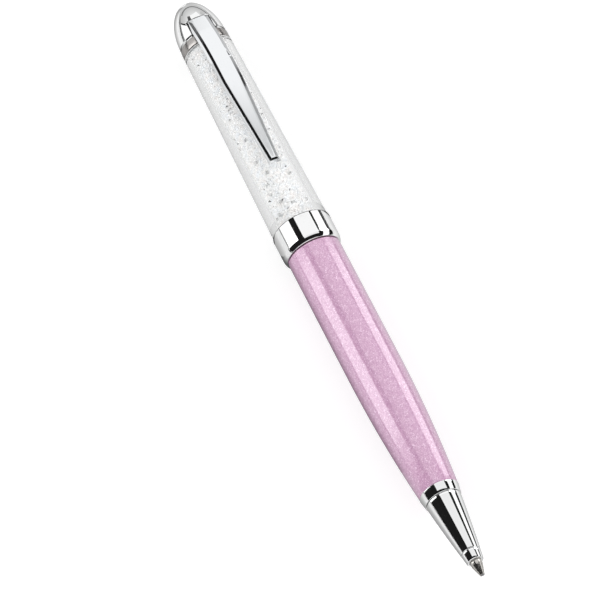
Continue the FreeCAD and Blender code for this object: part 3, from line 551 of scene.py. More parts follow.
# %% Writing point
TIP_CONE_REAR = 2.6
TIP_CONE_BLEND = 0.4
TIP_SLEEVE_REAR = 10.1
TIP_MOUTH_RADIUS = 0.47
TIP_MOUTH_WALL = 0.075
TIP_MOUTH_EDGE = 0.03
TIP_CHANNEL_RADIUS = 0.3
TIP_BARB_RADIUS = 0.955
BALL_SEAT_RADIUS = 0.37
BALL_SEAT_FRONT = 0.35
BALL_SEAT_REAR = 0.72

tip_front = front("refill_tip")
turned("writing_point", "refill_tip", "refill", "steel", steel, [
    (tip_front, TIP_MOUTH_RADIUS - TIP_MOUTH_WALL),
    (tip_front, TIP_MOUTH_RADIUS, TIP_MOUTH_EDGE),
    (TIP_CONE_REAR, radius("refill_tip"), TIP_CONE_BLEND),
    (TIP_SLEEVE_REAR, radius("refill_tip"), FINE_EDGE),
    (TIP_SLEEVE_REAR, TIP_BARB_RADIUS),
    (rear("refill_tip"), TIP_BARB_RADIUS),
    (rear("refill_tip"), TIP_CHANNEL_RADIUS),
    (BALL_SEAT_REAR, TIP_CHANNEL_RADIUS),
    (BALL_SEAT_REAR, BALL_SEAT_RADIUS),
    (BALL_SEAT_FRONT, BALL_SEAT_RADIUS),
])

ball_radius = radius("writing_ball")
bm = bmesh.new()
bmesh.ops.create_uvsphere(
    bm, u_segments=48, v_segments=24, radius=ball_radius * MM,
    matrix=Matrix.Translation(place(ball_radius, 0)))
dress(settle(bm, "point_ball"), "writing_ball", "ball", "carbide", carbide)

# %% [markdown]
# The barrel swells from the nose to its full width on one long shallow curve. A reflection
# shows the smallest dent in such a curve, so it is divided into many even steps, and it ends
# level before the straight stretch begins.

# %% Lacquered barrel
SWELL_LENGTH = 30.0
SWELL_STEPS = 40
LEVEL_RUN = 2.0
BARREL_FRONT_RADIUS = 4.06
BARREL_EDGE = 0.08
BARREL_BORE = 4.26
INSERT_BORE = 3.42
REAR_REDUCTION = 0.05
REAR_GAP = 0.13

barrel_front = front("lower_barrel")
barrel_rear = rear("lower_barrel") - REAR_GAP
barrel_radius = radius("lower_barrel")
swell_rise = barrel_radius - BARREL_FRONT_RADIUS
swell = [
    (
        barrel_front + SWELL_LENGTH * step / SWELL_STEPS,
        BARREL_FRONT_RADIUS + swell_rise * (1 - (1 - step / SWELL_STEPS) ** 2),
    )
    for step in range(1, SWELL_STEPS + 1)
]
turned("lacquered_barrel", "lower_barrel", "barrel", "pearl_lacquer", lacquer, [
    (barrel_front, INSERT_BORE),
    (barrel_front, BARREL_FRONT_RADIUS, BARREL_EDGE),
    *swell,
    (barrel_front + SWELL_LENGTH + LEVEL_RUN, barrel_radius),
    (barrel_rear, barrel_radius - REAR_REDUCTION, BARREL_EDGE),
    (barrel_rear, BARREL_BORE),
    (front("mechanism_housing"), BARREL_BORE),
    (front("mechanism_housing"), INSERT_BORE),
])

# %% [markdown]
# The band is the pen's widest part. Its front edge rolls in over the barrel and ends in a
# thin lip. The slope is nearly a cone, and the same shallow bow that swells the nose gives it
# the slight roundness of rolled metal.

# %% Band
BAND_SLOPE = 1.25
BAND_SLOPE_RISE = 0.1
BAND_SLOPE_STEPS = 12
BAND_LIP_STEP = 0.42
BAND_REAR_EDGE = 0.25
BAND_BORE = 5.02

band_front = front("center_band")
band_rear = rear("center_band")
band_radius = radius("center_band")
lip = (band_front, band_radius - BAND_LIP_STEP)
crest = (band_front + BAND_SLOPE, band_radius)
turned("plain_band", "center_band", "upper", "chrome", chrome, [
    (band_front, BAND_BORE),
    (*lip, FINE_EDGE),
    *bowed(lip, crest, BAND_SLOPE_RISE, BAND_SLOPE_STEPS),
    crest,
    (band_rear, band_radius, BAND_REAR_EDGE),
    (band_rear, BAND_BORE),
])

# %% [markdown]
# Behind the band comes the clear tube, a hair narrower, with a spigot in front and a narrow
# neck behind that enters the cap. Each end could be a part of its own, but one outline keeps
# the wall whole, as it is in a turned rod, and glass needs a closed skin. The end of the bore
# and the neck get the opaque pale finish, face by face: painted light, so that the tube's rear
# end doesn't look dark. Clear plastic hardly dims the light, so the tube throws no shadow of
# its own.

# %% Clear tube
TUBE_SPIGOT_RADIUS = 4.4
TUBE_REAR_RADIUS = 4.97
TUBE_NECK_RADIUS = 3.9
TUBE_BORE = 3.9
TUBE_NECK_BORE = 2.65
TUBE_NECK_SHOULDER = 0.06
TUBE_EDGE = 0.1
NEARLY = 0.001

tube_front = front("crystal_tube")
tube_rear = front("cap_ring")
neck_rear = rear("crystal_tube")
bore_end = tube_rear - TUBE_NECK_SHOULDER
tube = turned("clear_tube", "crystal_tube", "upper", "clear_acrylic", acrylic, [
    (tube_front, TUBE_BORE),
    (tube_front, TUBE_SPIGOT_RADIUS),
    (band_rear, TUBE_SPIGOT_RADIUS),
    (band_rear, radius("crystal_tube"), TUBE_EDGE),
    (tube_rear, TUBE_REAR_RADIUS, TUBE_EDGE),
    (tube_rear, TUBE_NECK_RADIUS),
    (neck_rear, TUBE_NECK_RADIUS),
    (neck_rear, TUBE_NECK_BORE),
    (bore_end, TUBE_NECK_BORE),
    (bore_end, TUBE_BORE),
])
# The end of the bore and the neck take the pale finish: painted light.
coat(tube, pale_painted_light)
for face in tube.data.polygons:
    back = (POINT - face.center.x) / MM
    out = math.hypot(face.center.y, face.center.z - AXIS) / MM
    face.material_index = int(back > bore_end - NEARLY and out < TUBE_NECK_RADIUS + NEARLY)
tube.visible_shadow = False
print("pale_painted_light", sum(face.material_index for face in tube.data.polygons), "faces")

# %% [markdown]
# The crystals are cut glass about a millimetre across. Each is a flat six-sided crown over a
# point, cut from one short cone: the wide end is poked out into the point. A round gem with
# fifty facets would look no better at this size, and thousands of stones have to stay light.

# %% One cut stone
STONE_RADIUS = 0.45
STONE_SIDES = 6
TABLE_WIDTH = 0.58
CROWN_HEIGHT = 0.4
POINT_DEPTH = 0.75


def cut_stone():
    """Mesh of one stone, in metres, with its girdle on the XY plane."""
    bm = bmesh.new()
    size = STONE_RADIUS * MM
    bmesh.ops.create_cone(
        bm, cap_ends=True, segments=STONE_SIDES, radius1=size, radius2=TABLE_WIDTH * size,
        depth=CROWN_HEIGHT * size, matrix=Matrix.Translation((0, 0, CROWN_HEIGHT / 2 * size)),
    )
    girdle = min(bm.faces, key=lambda face: face.normal.z)
    bmesh.ops.poke(bm, faces=[girdle], offset=POINT_DEPTH * size)
    bmesh.ops.recalc_face_normals(bm, faces=bm.faces)
    mesh = bpy.data.meshes.new("stone")
    bm.to_mesh(mesh)
    bm.free()
    return mesh


stone = cut_stone()
print("stone", len(stone.polygons), "facets")

# %% [markdown]
# On the bench the stones are poured in loose. A physics run could pour them here too, but it
# would be slow and never twice the same. Instead they sit in layers of three rings against
# the bore, shaken and tumbled by a seeded random generator, so they never line up and the
# result is the same each time. Nothing shows of the middle, which stays empty. At the tube's
# rear end one layer lies flat against the shoulder, and two rows lie flat against the wall.

# %% Where the stones lie
STONE_SEED = 7
STONE_PITCH = 0.66
LAYER_PITCH = 0.82
RING_DEPTHS = (0, 0.5, 1.1)
STONE_SHAKE = 0.12
FLAT_LAYER_DEPTH = 0.22
RIM_ROWS = 2
RIM_COUNT = 38
RIM_START, RIM_PITCH = 1.04, 0.9
RIM_SWAY = 0.25
RIM_SPIN = 1.0

stones_front = rear("lower_tube_plug") + STONE_RADIUS
stones_rear = bore_end - STONE_RADIUS


def ring_seats(rng):
    """Places of one layer's stones, in mm across and up, ring by ring."""
    turn = rng.uniform(0, 2 * math.pi)
    for depth in RING_DEPTHS:
        ring_radius = TUBE_BORE - FIT_GAP - STONE_RADIUS - depth
        count = int(2 * math.pi * ring_radius / STONE_PITCH)
        for seat in range(count):
            angle = turn + 2 * math.pi * seat / count
            yield ring_radius * math.cos(angle), ring_radius * math.sin(angle)


def stone_spots():
    """Place and turn of every stone, as matrices."""
    rng = random.Random(STONE_SEED)
    layers = int((stones_rear - stones_front) / (STONE_PITCH * LAYER_PITCH))
    for layer in range(layers + 1):
        back = stones_front + (stones_rear - stones_front) * layer / layers
        for across, up in ring_seats(rng):
            shake = rng.uniform(-STONE_SHAKE, STONE_SHAKE)
            lean = Euler([rng.uniform(0, 2 * math.pi) for axis in range(3)])
            spot = place(back + shake, up, across)
            yield Matrix.Translation(spot) @ lean.to_matrix().to_4x4()
    flat = Euler((0, -math.pi / 2, 0)).to_matrix().to_4x4()
    for across, up in ring_seats(rng):
        yield Matrix.Translation(place(bore_end - FLAT_LAYER_DEPTH, up, across)) @ flat
    rim_radius = TUBE_BORE - FIT_GAP - CROWN_HEIGHT * STONE_RADIUS
    for row in range(RIM_ROWS):
        back = bore_end - (RIM_START + RIM_PITCH * row) * STONE_RADIUS
        for seat in range(RIM_COUNT):
            angle = 2 * math.pi * (seat + row / 2) / RIM_COUNT
            spot = place(back, rim_radius * math.sin(angle), rim_radius * math.cos(angle))
            sway = rng.uniform(-RIM_SWAY, RIM_SWAY)
            facing = Matrix.Rotation(angle - math.pi / 2 + sway, 4, "X")
            spin = Matrix.Rotation(rng.uniform(0, RIM_SPIN), 4, "Z")
            yield Matrix.Translation(spot) @ (facing @ spin)


print("stones from", round(stones_front, 2), "to", round(stones_rear, 2), "mm")

# %% [markdown]
# All stones become one mesh, because thousands of objects would slow everything down. A few
# of them are clear, and about one in eight has one facet painted near black: a painted
# reflection of the dark side of the room. These differ only by the number of the finish that
# each face carries.

# %% Pouring the stones in
WHITE_STONE, CLEAR_STONE, PAINTED_REFLECTION_FACET = 0, 1, 2
CLEAR_SHARE = 0.02
PAINTED_REFLECTION_SHARE = 0.12

rng = random.Random(STONE_SEED + 1)
small_facets = [face.index for face in stone.polygons if len(face.vertices) < STONE_SIDES]
bm = bmesh.new()
stone_count = 0
clear_count = 0
for spot in stone_spots():
    copy = stone.copy()
    copy.transform(spot)
    clear = rng.random() < CLEAR_SHARE
    for face in copy.polygons:
        face.material_index = CLEAR_STONE if clear else WHITE_STONE
    # One facet painted near black: a painted reflection of the dark side of the room.
    if rng.random() < PAINTED_REFLECTION_SHARE:
        copy.polygons[rng.choice(small_facets)].material_index = PAINTED_REFLECTION_FACET
    bm.from_mesh(copy)
    bpy.data.meshes.remove(copy)
    stone_count += 1
    clear_count += clear
crystals = settle(bm, "loose_crystals")
crystals.data.shade_flat()
dress(crystals, "crystals", "upper", "cut_crystal", crystal, clear_crystal, painted_reflection_facet)
print("stones", stone_count, "of them clear", clear_count)

# %% [markdown]
# The cap begins with the satin ring, which leaves a hair's gap to the tube. Then comes a
# groove, and a dome shaped like half an egg: one quarter of an ellipse, spun. A scaled sphere
# would give the same outside, but the outline draws the cavity and the stud's bore as well.

# %% Cap ring and dome
COLLAR_GAP = 0.03
DOME_SEAM = 0.5
DOME_STEPS = 48
DOME_NECK_RADIUS = 4.56
DOME_CAVITY_RADIUS = 3.94
CAVITY_DEPTH = 4.2
CAVITY_TAPER = 1.5
STUD_BORE = 1.02

ring_start = tube_rear + COLLAR_GAP
ring_rear = rear("cap_ring")
turned("cap_collar", "cap_ring", "upper", "chrome", satin, [
    (ring_start, TUBE_NECK_RADIUS + FIT_GAP),
    (ring_start, radius("cap_ring"), EDGE),
    (ring_rear, radius("cap_ring"), EDGE),
    (ring_rear, TUBE_NECK_RADIUS + FIT_GAP),
])

dome_front = ring_rear + DOME_SEAM
dome_radius = radius("dome_cap")
dome_height = rear("dome_cap") - dome_front
dome_arc = [
    (
        dome_front + dome_height * math.sin(math.pi / 2 * step / DOME_STEPS),
        dome_radius * math.cos(math.pi / 2 * step / DOME_STEPS),
    )
    for step in range(DOME_STEPS)
]
stud_end = rear("cap_stud") + END_GAP
cavity_end = ring_rear + CAVITY_DEPTH + CAVITY_TAPER
dome = turned("cap_dome", "dome_cap", "upper", "chrome", chrome, [
    (ring_rear, DOME_CAVITY_RADIUS),
    (ring_rear, DOME_NECK_RADIUS),
    (dome_front, DOME_NECK_RADIUS),
    *dome_arc,
    (rear("dome_cap"), 0),
    (stud_end, 0),
    (stud_end, STUD_BORE),
    (cavity_end, STUD_BORE),
    (cavity_end, DOME_CAVITY_RADIUS - CAVITY_TAPER),
    (ring_rear + CAVITY_DEPTH, DOME_CAVITY_RADIUS),
])

# %% [markdown]
# The clip comes out of a slot in the dome's side. On the bench a milling cutter opens it, and
# here a box does, taken away by a Boolean modifier. The modifier is applied at once, because
# the shading has to be evened again on the mesh that it leaves.

# %% Slot for the clip
SLOT_GAP = 0.1
SLOT_BELOW = 0.55


def add_box(bm, size, middle):
    """Add a box of a size, round a middle, to a bmesh."""
    verts = bmesh.ops.create_cube(bm, size=1)["verts"]
    bmesh.ops.scale(bm, verts=verts, vec=size)
    bmesh.ops.translate(bm, verts=verts, vec=middle)


clip_low, clip_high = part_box("pocket_clip")
slot_front = POINT - (ring_rear - SLOT_GAP) * MM
slot_rear = clip_low.x - SLOT_GAP * MM
slot_low = clip_low.z - SLOT_BELOW * MM
slot_width = clip_high.y - clip_low.y + 2 * SLOT_GAP * MM
bm = bmesh.new()
add_box(
    bm, (slot_front - slot_rear, slot_width, clip_high.z - slot_low),
    ((slot_front + slot_rear) / 2, 0, (clip_high.z + slot_low) / 2))
cutter = settle(bm, "slot_cutter")
slot_cut = dome.modifiers.new("clip_slot", "BOOLEAN")
slot_cut.object = cutter
slot_cut.solver = "EXACT"
dome.modifiers.move(1, 0)
bpy.context.view_layer.update()
evaluated = dome.evaluated_get(bpy.context.evaluated_depsgraph_get())
slotted = bpy.data.meshes.new_from_object(evaluated)
dome.modifiers.clear()
dome.data = slotted
even_shading(dome)
bpy.data.objects.remove(cutter)
print("dome", len(dome.data.polygons), "faces after the slot")

# %% [markdown]
# The clip is a folded strip. It could be modelled in its bent shape, but it is made as in the
# workshop: flat first, and bent at the end. The face stands level over most of its length, and
# the cap end goes down to the dome on an arc, then straight. These sizes follow from where the
# clip ends and from how steep its root is.

# %% Sizes of the clip's bend
CLIP_BEND = 12.0
CLIP_BEND_ANGLE = math.radians(16.6)
CLIP_ROOT_SINK = 0.2

clip_end = front("pocket_clip")
clip_root = rear("pocket_clip")
face_height = (clip_high.z - AXIS) / MM
half_width = radius("pocket_clip")
drop = face_height - (dome_radius - CLIP_ROOT_SINK)
bend_sine, bend_cosine = math.sin(CLIP_BEND_ANGLE), math.cos(CLIP_BEND_ANGLE)
bend_radius = (CLIP_BEND * bend_sine - drop * bend_cosine) / (1 - bend_cosine)
bend_start = clip_root - CLIP_BEND
bend_arc = bend_radius * CLIP_BEND_ANGLE
bend_length = bend_arc + (drop * bend_sine) / (1 - bend_cosine) - CLIP_BEND
print("arc", round(bend_arc, 2), "mm, then straight", round(bend_length - bend_arc, 2), "mm")

# %% [markdown]
# The flat strip is an outline that narrows to its free end. Extruded by a hair, its top is
# inset three times: up the sloping flanks, over a narrow bevel and on to the hardly crowned
# face. The underside is inset too, and sunk into the channel that the folding leaves.

# %% Clip drawn flat
CLIP_DEPTH = 1.05
CLIP_FLANK = 0.28
CLIP_BEVEL = 0.54
CLIP_BEVEL_RISE = 0.18
CLIP_CROWN = 0.35
CLIP_CROWN_RISE = 0.03
CLIP_LIFT = 0.02
CLIP_WALL = 0.45
CLIP_END_HALF = 1.22
CLIP_TAPER = 20.0
CLIP_SPARE = 1.5

base = face_height - CLIP_DEPTH
taper_end = clip_end + CLIP_TAPER
flat_root = bend_start + bend_length + CLIP_SPARE
outline = [
    (clip_end, -CLIP_END_HALF),
    (clip_end, CLIP_END_HALF),
    (taper_end, half_width),
    (flat_root, half_width),
    (flat_root, -half_width),
    (taper_end, -half_width),
]
bm = bmesh.new()
bottom = bm.faces.new([bm.verts.new(place(back, base, across)) for back, across in outline])
grown = bmesh.ops.extrude_face_region(bm, geom=[bottom])["geom"]
top = next(item for item in grown if isinstance(item, bmesh.types.BMFace))
bmesh.ops.translate(bm, verts=top.verts, vec=(0, 0, CLIP_LIFT * MM))
bmesh.ops.recalc_face_normals(bm, faces=bm.faces)
for face, width, rise in (
    (top, CLIP_FLANK, CLIP_DEPTH - CLIP_BEVEL_RISE - CLIP_CROWN_RISE - CLIP_LIFT),
    (top, CLIP_BEVEL, CLIP_BEVEL_RISE),
    (top, CLIP_CROWN, CLIP_CROWN_RISE),
    (bottom, CLIP_WALL, 0),
    (bottom, CLIP_WALL / 2, CLIP_WALL - CLIP_DEPTH),
):
    bmesh.ops.inset_region(
        bm, faces=[face], thickness=width * MM, depth=rise * MM, use_even_offset=True)
print("flat clip", len(bm.faces), "faces")

# %% [markdown]
# Only edges can bend, so the strip is first cut across at even steps, and the spare length
# behind the last cut comes off. Then each point beyond the start of the bend is carried round
# the arc, and past the arc's end straight on. A curve modifier could do this too, but it needs
# a curve object and stretches the strip.

# %% Bending the clip
BEND_CUTS = 14

for step in range(BEND_CUTS + 1):
    parted = bmesh.ops.bisect_plane(
        bm, geom=bm.verts[:] + bm.edges[:] + bm.faces[:],
        plane_co=place(bend_start + bend_length * step / BEND_CUTS, 0), plane_no=(1, 0, 0),
        clear_inner=step == BEND_CUTS)
open_end = [item for item in parted["geom_cut"] if isinstance(item, bmesh.types.BMEdge)]
bmesh.ops.contextual_create(bm, geom=open_end)
for vert in bm.verts:
    back = (POINT - vert.co.x) / MM
    if back > bend_start:
        turn = min((back - bend_start) / bend_radius, CLIP_BEND_ANGLE)
        beyond = max(back - bend_start - bend_arc, 0)
        arm = bend_radius + (vert.co.z - AXIS) / MM - face_height
        along = arm * math.sin(turn) + beyond * bend_cosine
        rise = arm * math.cos(turn) - bend_radius - beyond * bend_sine
        vert.co = place(bend_start + along, face_height + rise, vert.co.y / MM)
print("bent clip", len(bm.faces), "faces")

# %% [markdown]
# A small foot under the free end bears on the tube. It is a box that sinks a little into the
# strip, since nobody sees where they meet. Last, a bevel modifier rounds every real edge by a
# few hundredths of a millimetre, enough for each to catch a line of light.

# %% Foot and edges of the clip
FOOT_SIDE = 1.6
FOOT_HEIGHT = 0.4
FOOT_SUNK = 0.3
FOOT_INSET = 1.05
CLIP_EDGE = 0.06
CLIP_EDGE_ANGLE = math.radians(12)

foot_middle = place(clip_end + FOOT_INSET, base - FOOT_HEIGHT / 2 + FOOT_SUNK / 2)
add_box(bm, (FOOT_SIDE * MM, FOOT_SIDE * MM, (FOOT_HEIGHT + FOOT_SUNK) * MM), foot_middle)
bmesh.ops.recalc_face_normals(bm, faces=bm.faces)
clip = settle(bm, "sprung_clip")
edge_round = clip.modifiers.new("edge_round", "BEVEL")
edge_round.width = CLIP_EDGE * MM
edge_round.segments = 2
edge_round.limit_method = "ANGLE"
edge_round.angle_limit = CLIP_EDGE_ANGLE
even_shading(clip)
dress(clip, "pocket_clip", "clip", "chrome", clip_chrome)

# %% [markdown]
# Polished metal looks like its surroundings, so the studio is part of the pen's finish. A
# panorama image could stand in for it, but glowing panels give the clean dark lines of a real
# studio, and each can be moved for the one reflection that needs it. A panel glows evenly, or
# fades from one place to another, and shows only in reflections.

# %% A panel that only mirrors show
FADE_SOCKETS = ("From Min", "From Max", "To Min", "To Max")


def swept(ends, **spin):
    """Bmesh of the sheet that a straight edge leaves behind as it is spun."""
    bm = bmesh.new()
    verts = [bm.verts.new(end) for end in ends]
    edge = bm.edges.new(verts)
    bmesh.ops.spin(bm, geom=verts + [edge], **spin)
    return bm


def show_in_mirrors(bm, name, strength, fade=None):
    """Make a panel of a bmesh, which glows and which only reflections show.

    A fade (axis, start, end, strength) changes its strength evenly between two places.
    """
    glow = bpy.data.materials.new(name)
    glow.use_nodes = True
    glow.node_tree.nodes.clear()
    emission = add_node(glow, "Emission")
    emission.inputs["Strength"].default_value = strength
    if fade:
        axis, start, end, last = fade
        where = add_node(glow, "SeparateXYZ")
        join(glow, stretched(glow), where.inputs["Vector"])
        along = add_node(glow, "MapRange")
        for socket, value in zip(FADE_SOCKETS, (start, end, strength, last)):
            along.inputs[socket].default_value = value
        join(glow, where.outputs[axis], along.inputs["Value"])
        join(glow, along.outputs["Result"], emission.inputs["Strength"])
    output = add_node(glow, "OutputMaterial")
    join(glow, emission.outputs["Emission"], output.inputs["Surface"])
    panel = settle(bm, name)
    coat(panel, glow)
    panel.visible_camera = False
    panel.visible_diffuse = False
    panel.visible_transmission = False
    panel.visible_shadow = False
    print("panel", name, "glows", strength)


# %% [markdown]
# Most panels stand round the pen's axis like a tent. They could be flat cards, but a curved
# panel stays equally far from the pen and is simply a straight edge along it, spun through a
# part of a circle. An end may be slanted, which tilts the line that it draws in a mirror.

# %% A panel of the tent
TENT_RADIUS = 0.7
PANEL_STEP = 4


def tent_panel(
        name, near, far, angles, strength, slants=(0.0, 0.0), fade=None, reach=TENT_RADIUS):
    """Curved panel between two places along X and two angles from above, + towards +Y.

    The slants move its two ends along X, by that much for each right angle from above.
    """
    low, high = angles
    start = math.radians(low)
    bm = swept(
        [(x, reach * math.sin(start), AXIS + reach * math.cos(start)) for x in (near, far)],
        cent=(0, 0, AXIS), axis=(-1, 0, 0), angle=math.radians(high - low),
        steps=max(2, int((high - low) / PANEL_STEP)),
    )
    for vert in bm.verts:
        turn = math.degrees(math.atan2(vert.co.y, vert.co.z - AXIS))
        vert.co.x += slants[int(vert.co.x > (near + far) / 2)] * turn / 90
    show_in_mirrors(bm, f"tent_{name}", strength, fade)


# %% [markdown]
# The tent has bright boxes on both sides, a softer roof, and dark gaps between them. The gaps
# matter most: they are the black lines along the chrome. Seen from the front, each piece of
# the pen mirrors the stretch of the tent that lies far behind it. So the band and the cap get
# the boxes at the rear, and the barrel the strips before them, which are stronger because
# lacquer mirrors less than metal. The slopes of the nose turn to the dark side and the hood.

# %% The tent
DARK = 0.012
BOX_GLOW = 1.2
STRIP_GLOW = 3.0
STRIP_END_GLOW = 0.5
ROOF_GLOW = 1.06
ROOF_REAR_GLOW = 0.9
FRONT_GLOW = 0.95

TENT_REAR = -0.54
TENT_SLANT = 0.342
EDGE_LINE = 0.08
RIGHT_REAR = -0.75
HORIZON_REAR = -0.45
BAND_END = -0.3755
FADE_START = -0.26
SIDE_END = -0.188
ROOF_REAR, ROOF_FADE = -1.3, -1.24
ROOF_END = 0.03
HOOD_END = 0.5
TENT_FRONT = 1.4

LEFT_FOOT = -90
LEFT_TOP = -43
ROOF_LEFT, ROOF_RIGHT = -21, 41
HOOD_LEFT, HOOD_RIGHT = -19, 37
RIGHT_BOX_TOP, RIGHT_STRIP_TOP = 49, 47
RIGHT_FOOT = 82
RIGHT_FRONT_TOP, RIGHT_FRONT_FOOT = 53, 78

tent_panel("left_box", TENT_REAR, BAND_END, (LEFT_FOOT, LEFT_TOP), BOX_GLOW,
           slants=(TENT_SLANT, 0))
tent_panel("left_gap", TENT_REAR, SIDE_END, (LEFT_TOP, ROOF_LEFT), DARK,
           slants=(TENT_SLANT, 0))
tent_panel("left_edge", TENT_REAR - EDGE_LINE, TENT_REAR, (LEFT_FOOT, ROOF_LEFT), DARK,
           slants=(TENT_SLANT, TENT_SLANT))
tent_panel("left_strip", BAND_END, FADE_START, (LEFT_FOOT, LEFT_TOP), STRIP_GLOW)
tent_panel("left_fade", FADE_START, SIDE_END, (LEFT_FOOT, LEFT_TOP), STRIP_GLOW,
           fade=("X", FADE_START, SIDE_END, STRIP_END_GLOW))
tent_panel("dark_side", SIDE_END, HOOD_END, (LEFT_FOOT, HOOD_LEFT), DARK)
tent_panel("roof", ROOF_REAR, SIDE_END, (ROOF_LEFT, ROOF_RIGHT), ROOF_GLOW,
           fade=("X", ROOF_FADE, ROOF_REAR, ROOF_REAR_GLOW))
tent_panel("roof_front", SIDE_END, ROOF_END, (HOOD_LEFT, HOOD_RIGHT), FRONT_GLOW)
tent_panel("hood", ROOF_END, HOOD_END, (HOOD_LEFT, HOOD_RIGHT), DARK)
tent_panel("front_box", HOOD_END, TENT_FRONT, (LEFT_FOOT, HOOD_RIGHT), FRONT_GLOW)
tent_panel("right_line", RIGHT_REAR, BAND_END, (ROOF_RIGHT, RIGHT_BOX_TOP), DARK)
tent_panel("right_box", RIGHT_REAR, BAND_END, (RIGHT_BOX_TOP, RIGHT_FOOT), BOX_GLOW)
tent_panel("right_line_side", BAND_END, SIDE_END, (42, RIGHT_STRIP_TOP), DARK)
tent_panel("right_strip", BAND_END, SIDE_END, (RIGHT_STRIP_TOP, RIGHT_FOOT), STRIP_GLOW)
tent_panel("right_horizon", HORIZON_REAR, SIDE_END, (RIGHT_FOOT, 91), DARK)
tent_panel("right_line_front", SIDE_END, TENT_FRONT, (HOOD_RIGHT, RIGHT_FRONT_TOP), DARK)
tent_panel("right_box_front", SIDE_END, TENT_FRONT, (RIGHT_FRONT_TOP, RIGHT_FRONT_FOOT),
           BOX_GLOW)
tent_panel("right_horizon_front", SIDE_END, TENT_FRONT, (RIGHT_FRONT_FOOT, 92), DARK)

# %% [markdown]
# The clip's flat face mirrors one narrow place of the roof. A graded patch there gives it the
# slow change from white at the cap to grey at its free end that a long flat mirror has. Its
# flanks and bevels mirror other places, so the left ones get dark patches, and the right ones
# patches that darken towards the free end. They hang inside the tent and hide it.

# %% What the clip mirrors
CLIP_REACH = 0.69
CLIP_NEAR_REACH = 0.2
CLIP_REAR, CLIP_FRONT = -0.43, -0.386

tent_panel("clip_face", CLIP_REAR, CLIP_FRONT, (2, 26), ROOF_GLOW,
           fade=("X", -0.412, -0.394, 0.69), reach=CLIP_REACH)
tent_panel("clip_left", CLIP_REAR, CLIP_FRONT, (-43, -17), DARK, reach=CLIP_REACH)
tent_panel("clip_right", CLIP_REAR, CLIP_FRONT, (45, 52), 0.42,
           fade=("X", -0.415, -0.397, 0.04), reach=CLIP_REACH)
tent_panel("clip_right_end", -0.143, -0.1225, (45, 53), 0.4, reach=CLIP_NEAR_REACH)
tent_panel("clip_left_rear", -1.26, CLIP_REAR, (-36, -17), DARK,
           fade=("X", -0.8, -1.2, 0.12), reach=CLIP_REACH)
tent_panel("clip_right_rear", -1.0, CLIP_REAR, (50, 70), 0.6, reach=CLIP_REACH)

# %% [markdown]
# White chrome beside a clear tube has no visible edge. A thin black card round the tube, close
# behind the band, is mirrored only by the rounding of the band's rear edge, and draws it.

# %% Card behind the band
CARD_GAP = 2.0
CARD_CLEARANCE = 0.1
CARD_HEIGHT = 3.0
CARD_STEPS = 64

card_at = band_rear + CARD_GAP
card = swept(
    [
        place(card_at, radius("crystal_tube") + CARD_CLEARANCE),
        place(card_at, band_radius + CARD_HEIGHT),
    ],
    cent=(0, 0, AXIS), axis=(1, 0, 0), angle=2 * math.pi, steps=CARD_STEPS, use_merge=True)
show_in_mirrors(card, "band_card", DARK)

# %% [markdown]
# Behind the cap stands a pale wall, with a grey line along its foot that is paler on the left.
# They give the polished dome its horizon: a thin arc with a paler rim outside. A tent panel
# can't, because the dome looks past the tent's open end.

# %% Wall behind the cap
WALL_DISTANCE = 2.3
WALL_HEIGHT = 1.9
WALL_STEPS = 36
WALL_GLOW = 0.6
LINE_HEIGHT = 0.19
LINE_LEFT = -24


def wall_strip(name, angles, heights, strength, fade=None):
    """Upright strip on a circle round the pen, between two angles from its rear, + to +Y."""
    start, end = (math.radians(angle) for angle in angles)
    bm = swept(
        [
            (-WALL_DISTANCE * math.cos(start), WALL_DISTANCE * math.sin(start), height)
            for height in heights
        ],
        cent=(0, 0, 0), axis=(0, 0, -1), angle=end - start, steps=WALL_STEPS,
    )
    show_in_mirrors(bm, f"wall_{name}", strength, fade)


wall_strip("left_foot", (-90, LINE_LEFT), (0, LINE_HEIGHT), 0.58)
wall_strip("line", (LINE_LEFT, 90), (0, LINE_HEIGHT), 0.2)
wall_strip("face", (-90, 90), (LINE_HEIGHT, WALL_HEIGHT), WALL_GLOW, fade=("Z", 0.3, 1.6, 0.92))

# %% [markdown]
# The floor is a white sheet. It is white because of its own colour, not because of strong
# lamps. A plain matt white would do for the camera alone, but its tone is set apart here for
# each kind of ray: the camera, mirrors, clear parts and matt surfaces.

# %% Floor
FLOOR_SIDE = 5.0
FLOOR_DROP = 0.0001
FLOOR_TONES = (
    ("Is Glossy Ray", 0.8, 0.1),
    ("Is Transmission Ray", 0.34, 0.52),
    ("Is Camera Ray", 0.55, 0.6),
)
MATT_TONE = 0.65

white_floor = bpy.data.materials.new("white_floor")
white_floor.use_nodes = True
white_floor.node_tree.nodes.clear()


def floor_layer(diffuse, glow):
    """Matt white that also glows, so that shadows on it stay as light as wanted."""
    matt = add_node(white_floor, "BsdfDiffuse")
    matt.inputs["Color"].default_value = (diffuse, diffuse, diffuse, 1)
    emission = add_node(white_floor, "Emission")
    emission.inputs["Strength"].default_value = glow
    both = add_node(white_floor, "AddShader")
    join(white_floor, matt.outputs["BSDF"], both.inputs[0])
    join(white_floor, emission.outputs["Emission"], both.inputs[1])
    return both.outputs["Shader"]


ray = add_node(white_floor, "LightPath")
tone = floor_layer(MATT_TONE, 0.0)
for kind, diffuse, glow in FLOOR_TONES:
    choice = add_node(white_floor, "MixShader")
    join(white_floor, ray.outputs[kind], choice.inputs["Fac"])
    join(white_floor, tone, choice.inputs[1])
    join(white_floor, floor_layer(diffuse, glow), choice.inputs[2])
    tone = choice.outputs["Shader"]
output = add_node(white_floor, "OutputMaterial")
join(white_floor, tone, output.inputs["Surface"])

bm = bmesh.new()
bmesh.ops.create_grid(bm, x_segments=1, y_segments=1, size=FLOOR_SIDE / 2)
bmesh.ops.translate(bm, verts=bm.verts, vec=(0, 0, -FLOOR_DROP))
floor = settle(bm, "floor")
coat(floor, white_floor)
print("floor", FLOOR_SIDE, "m wide")
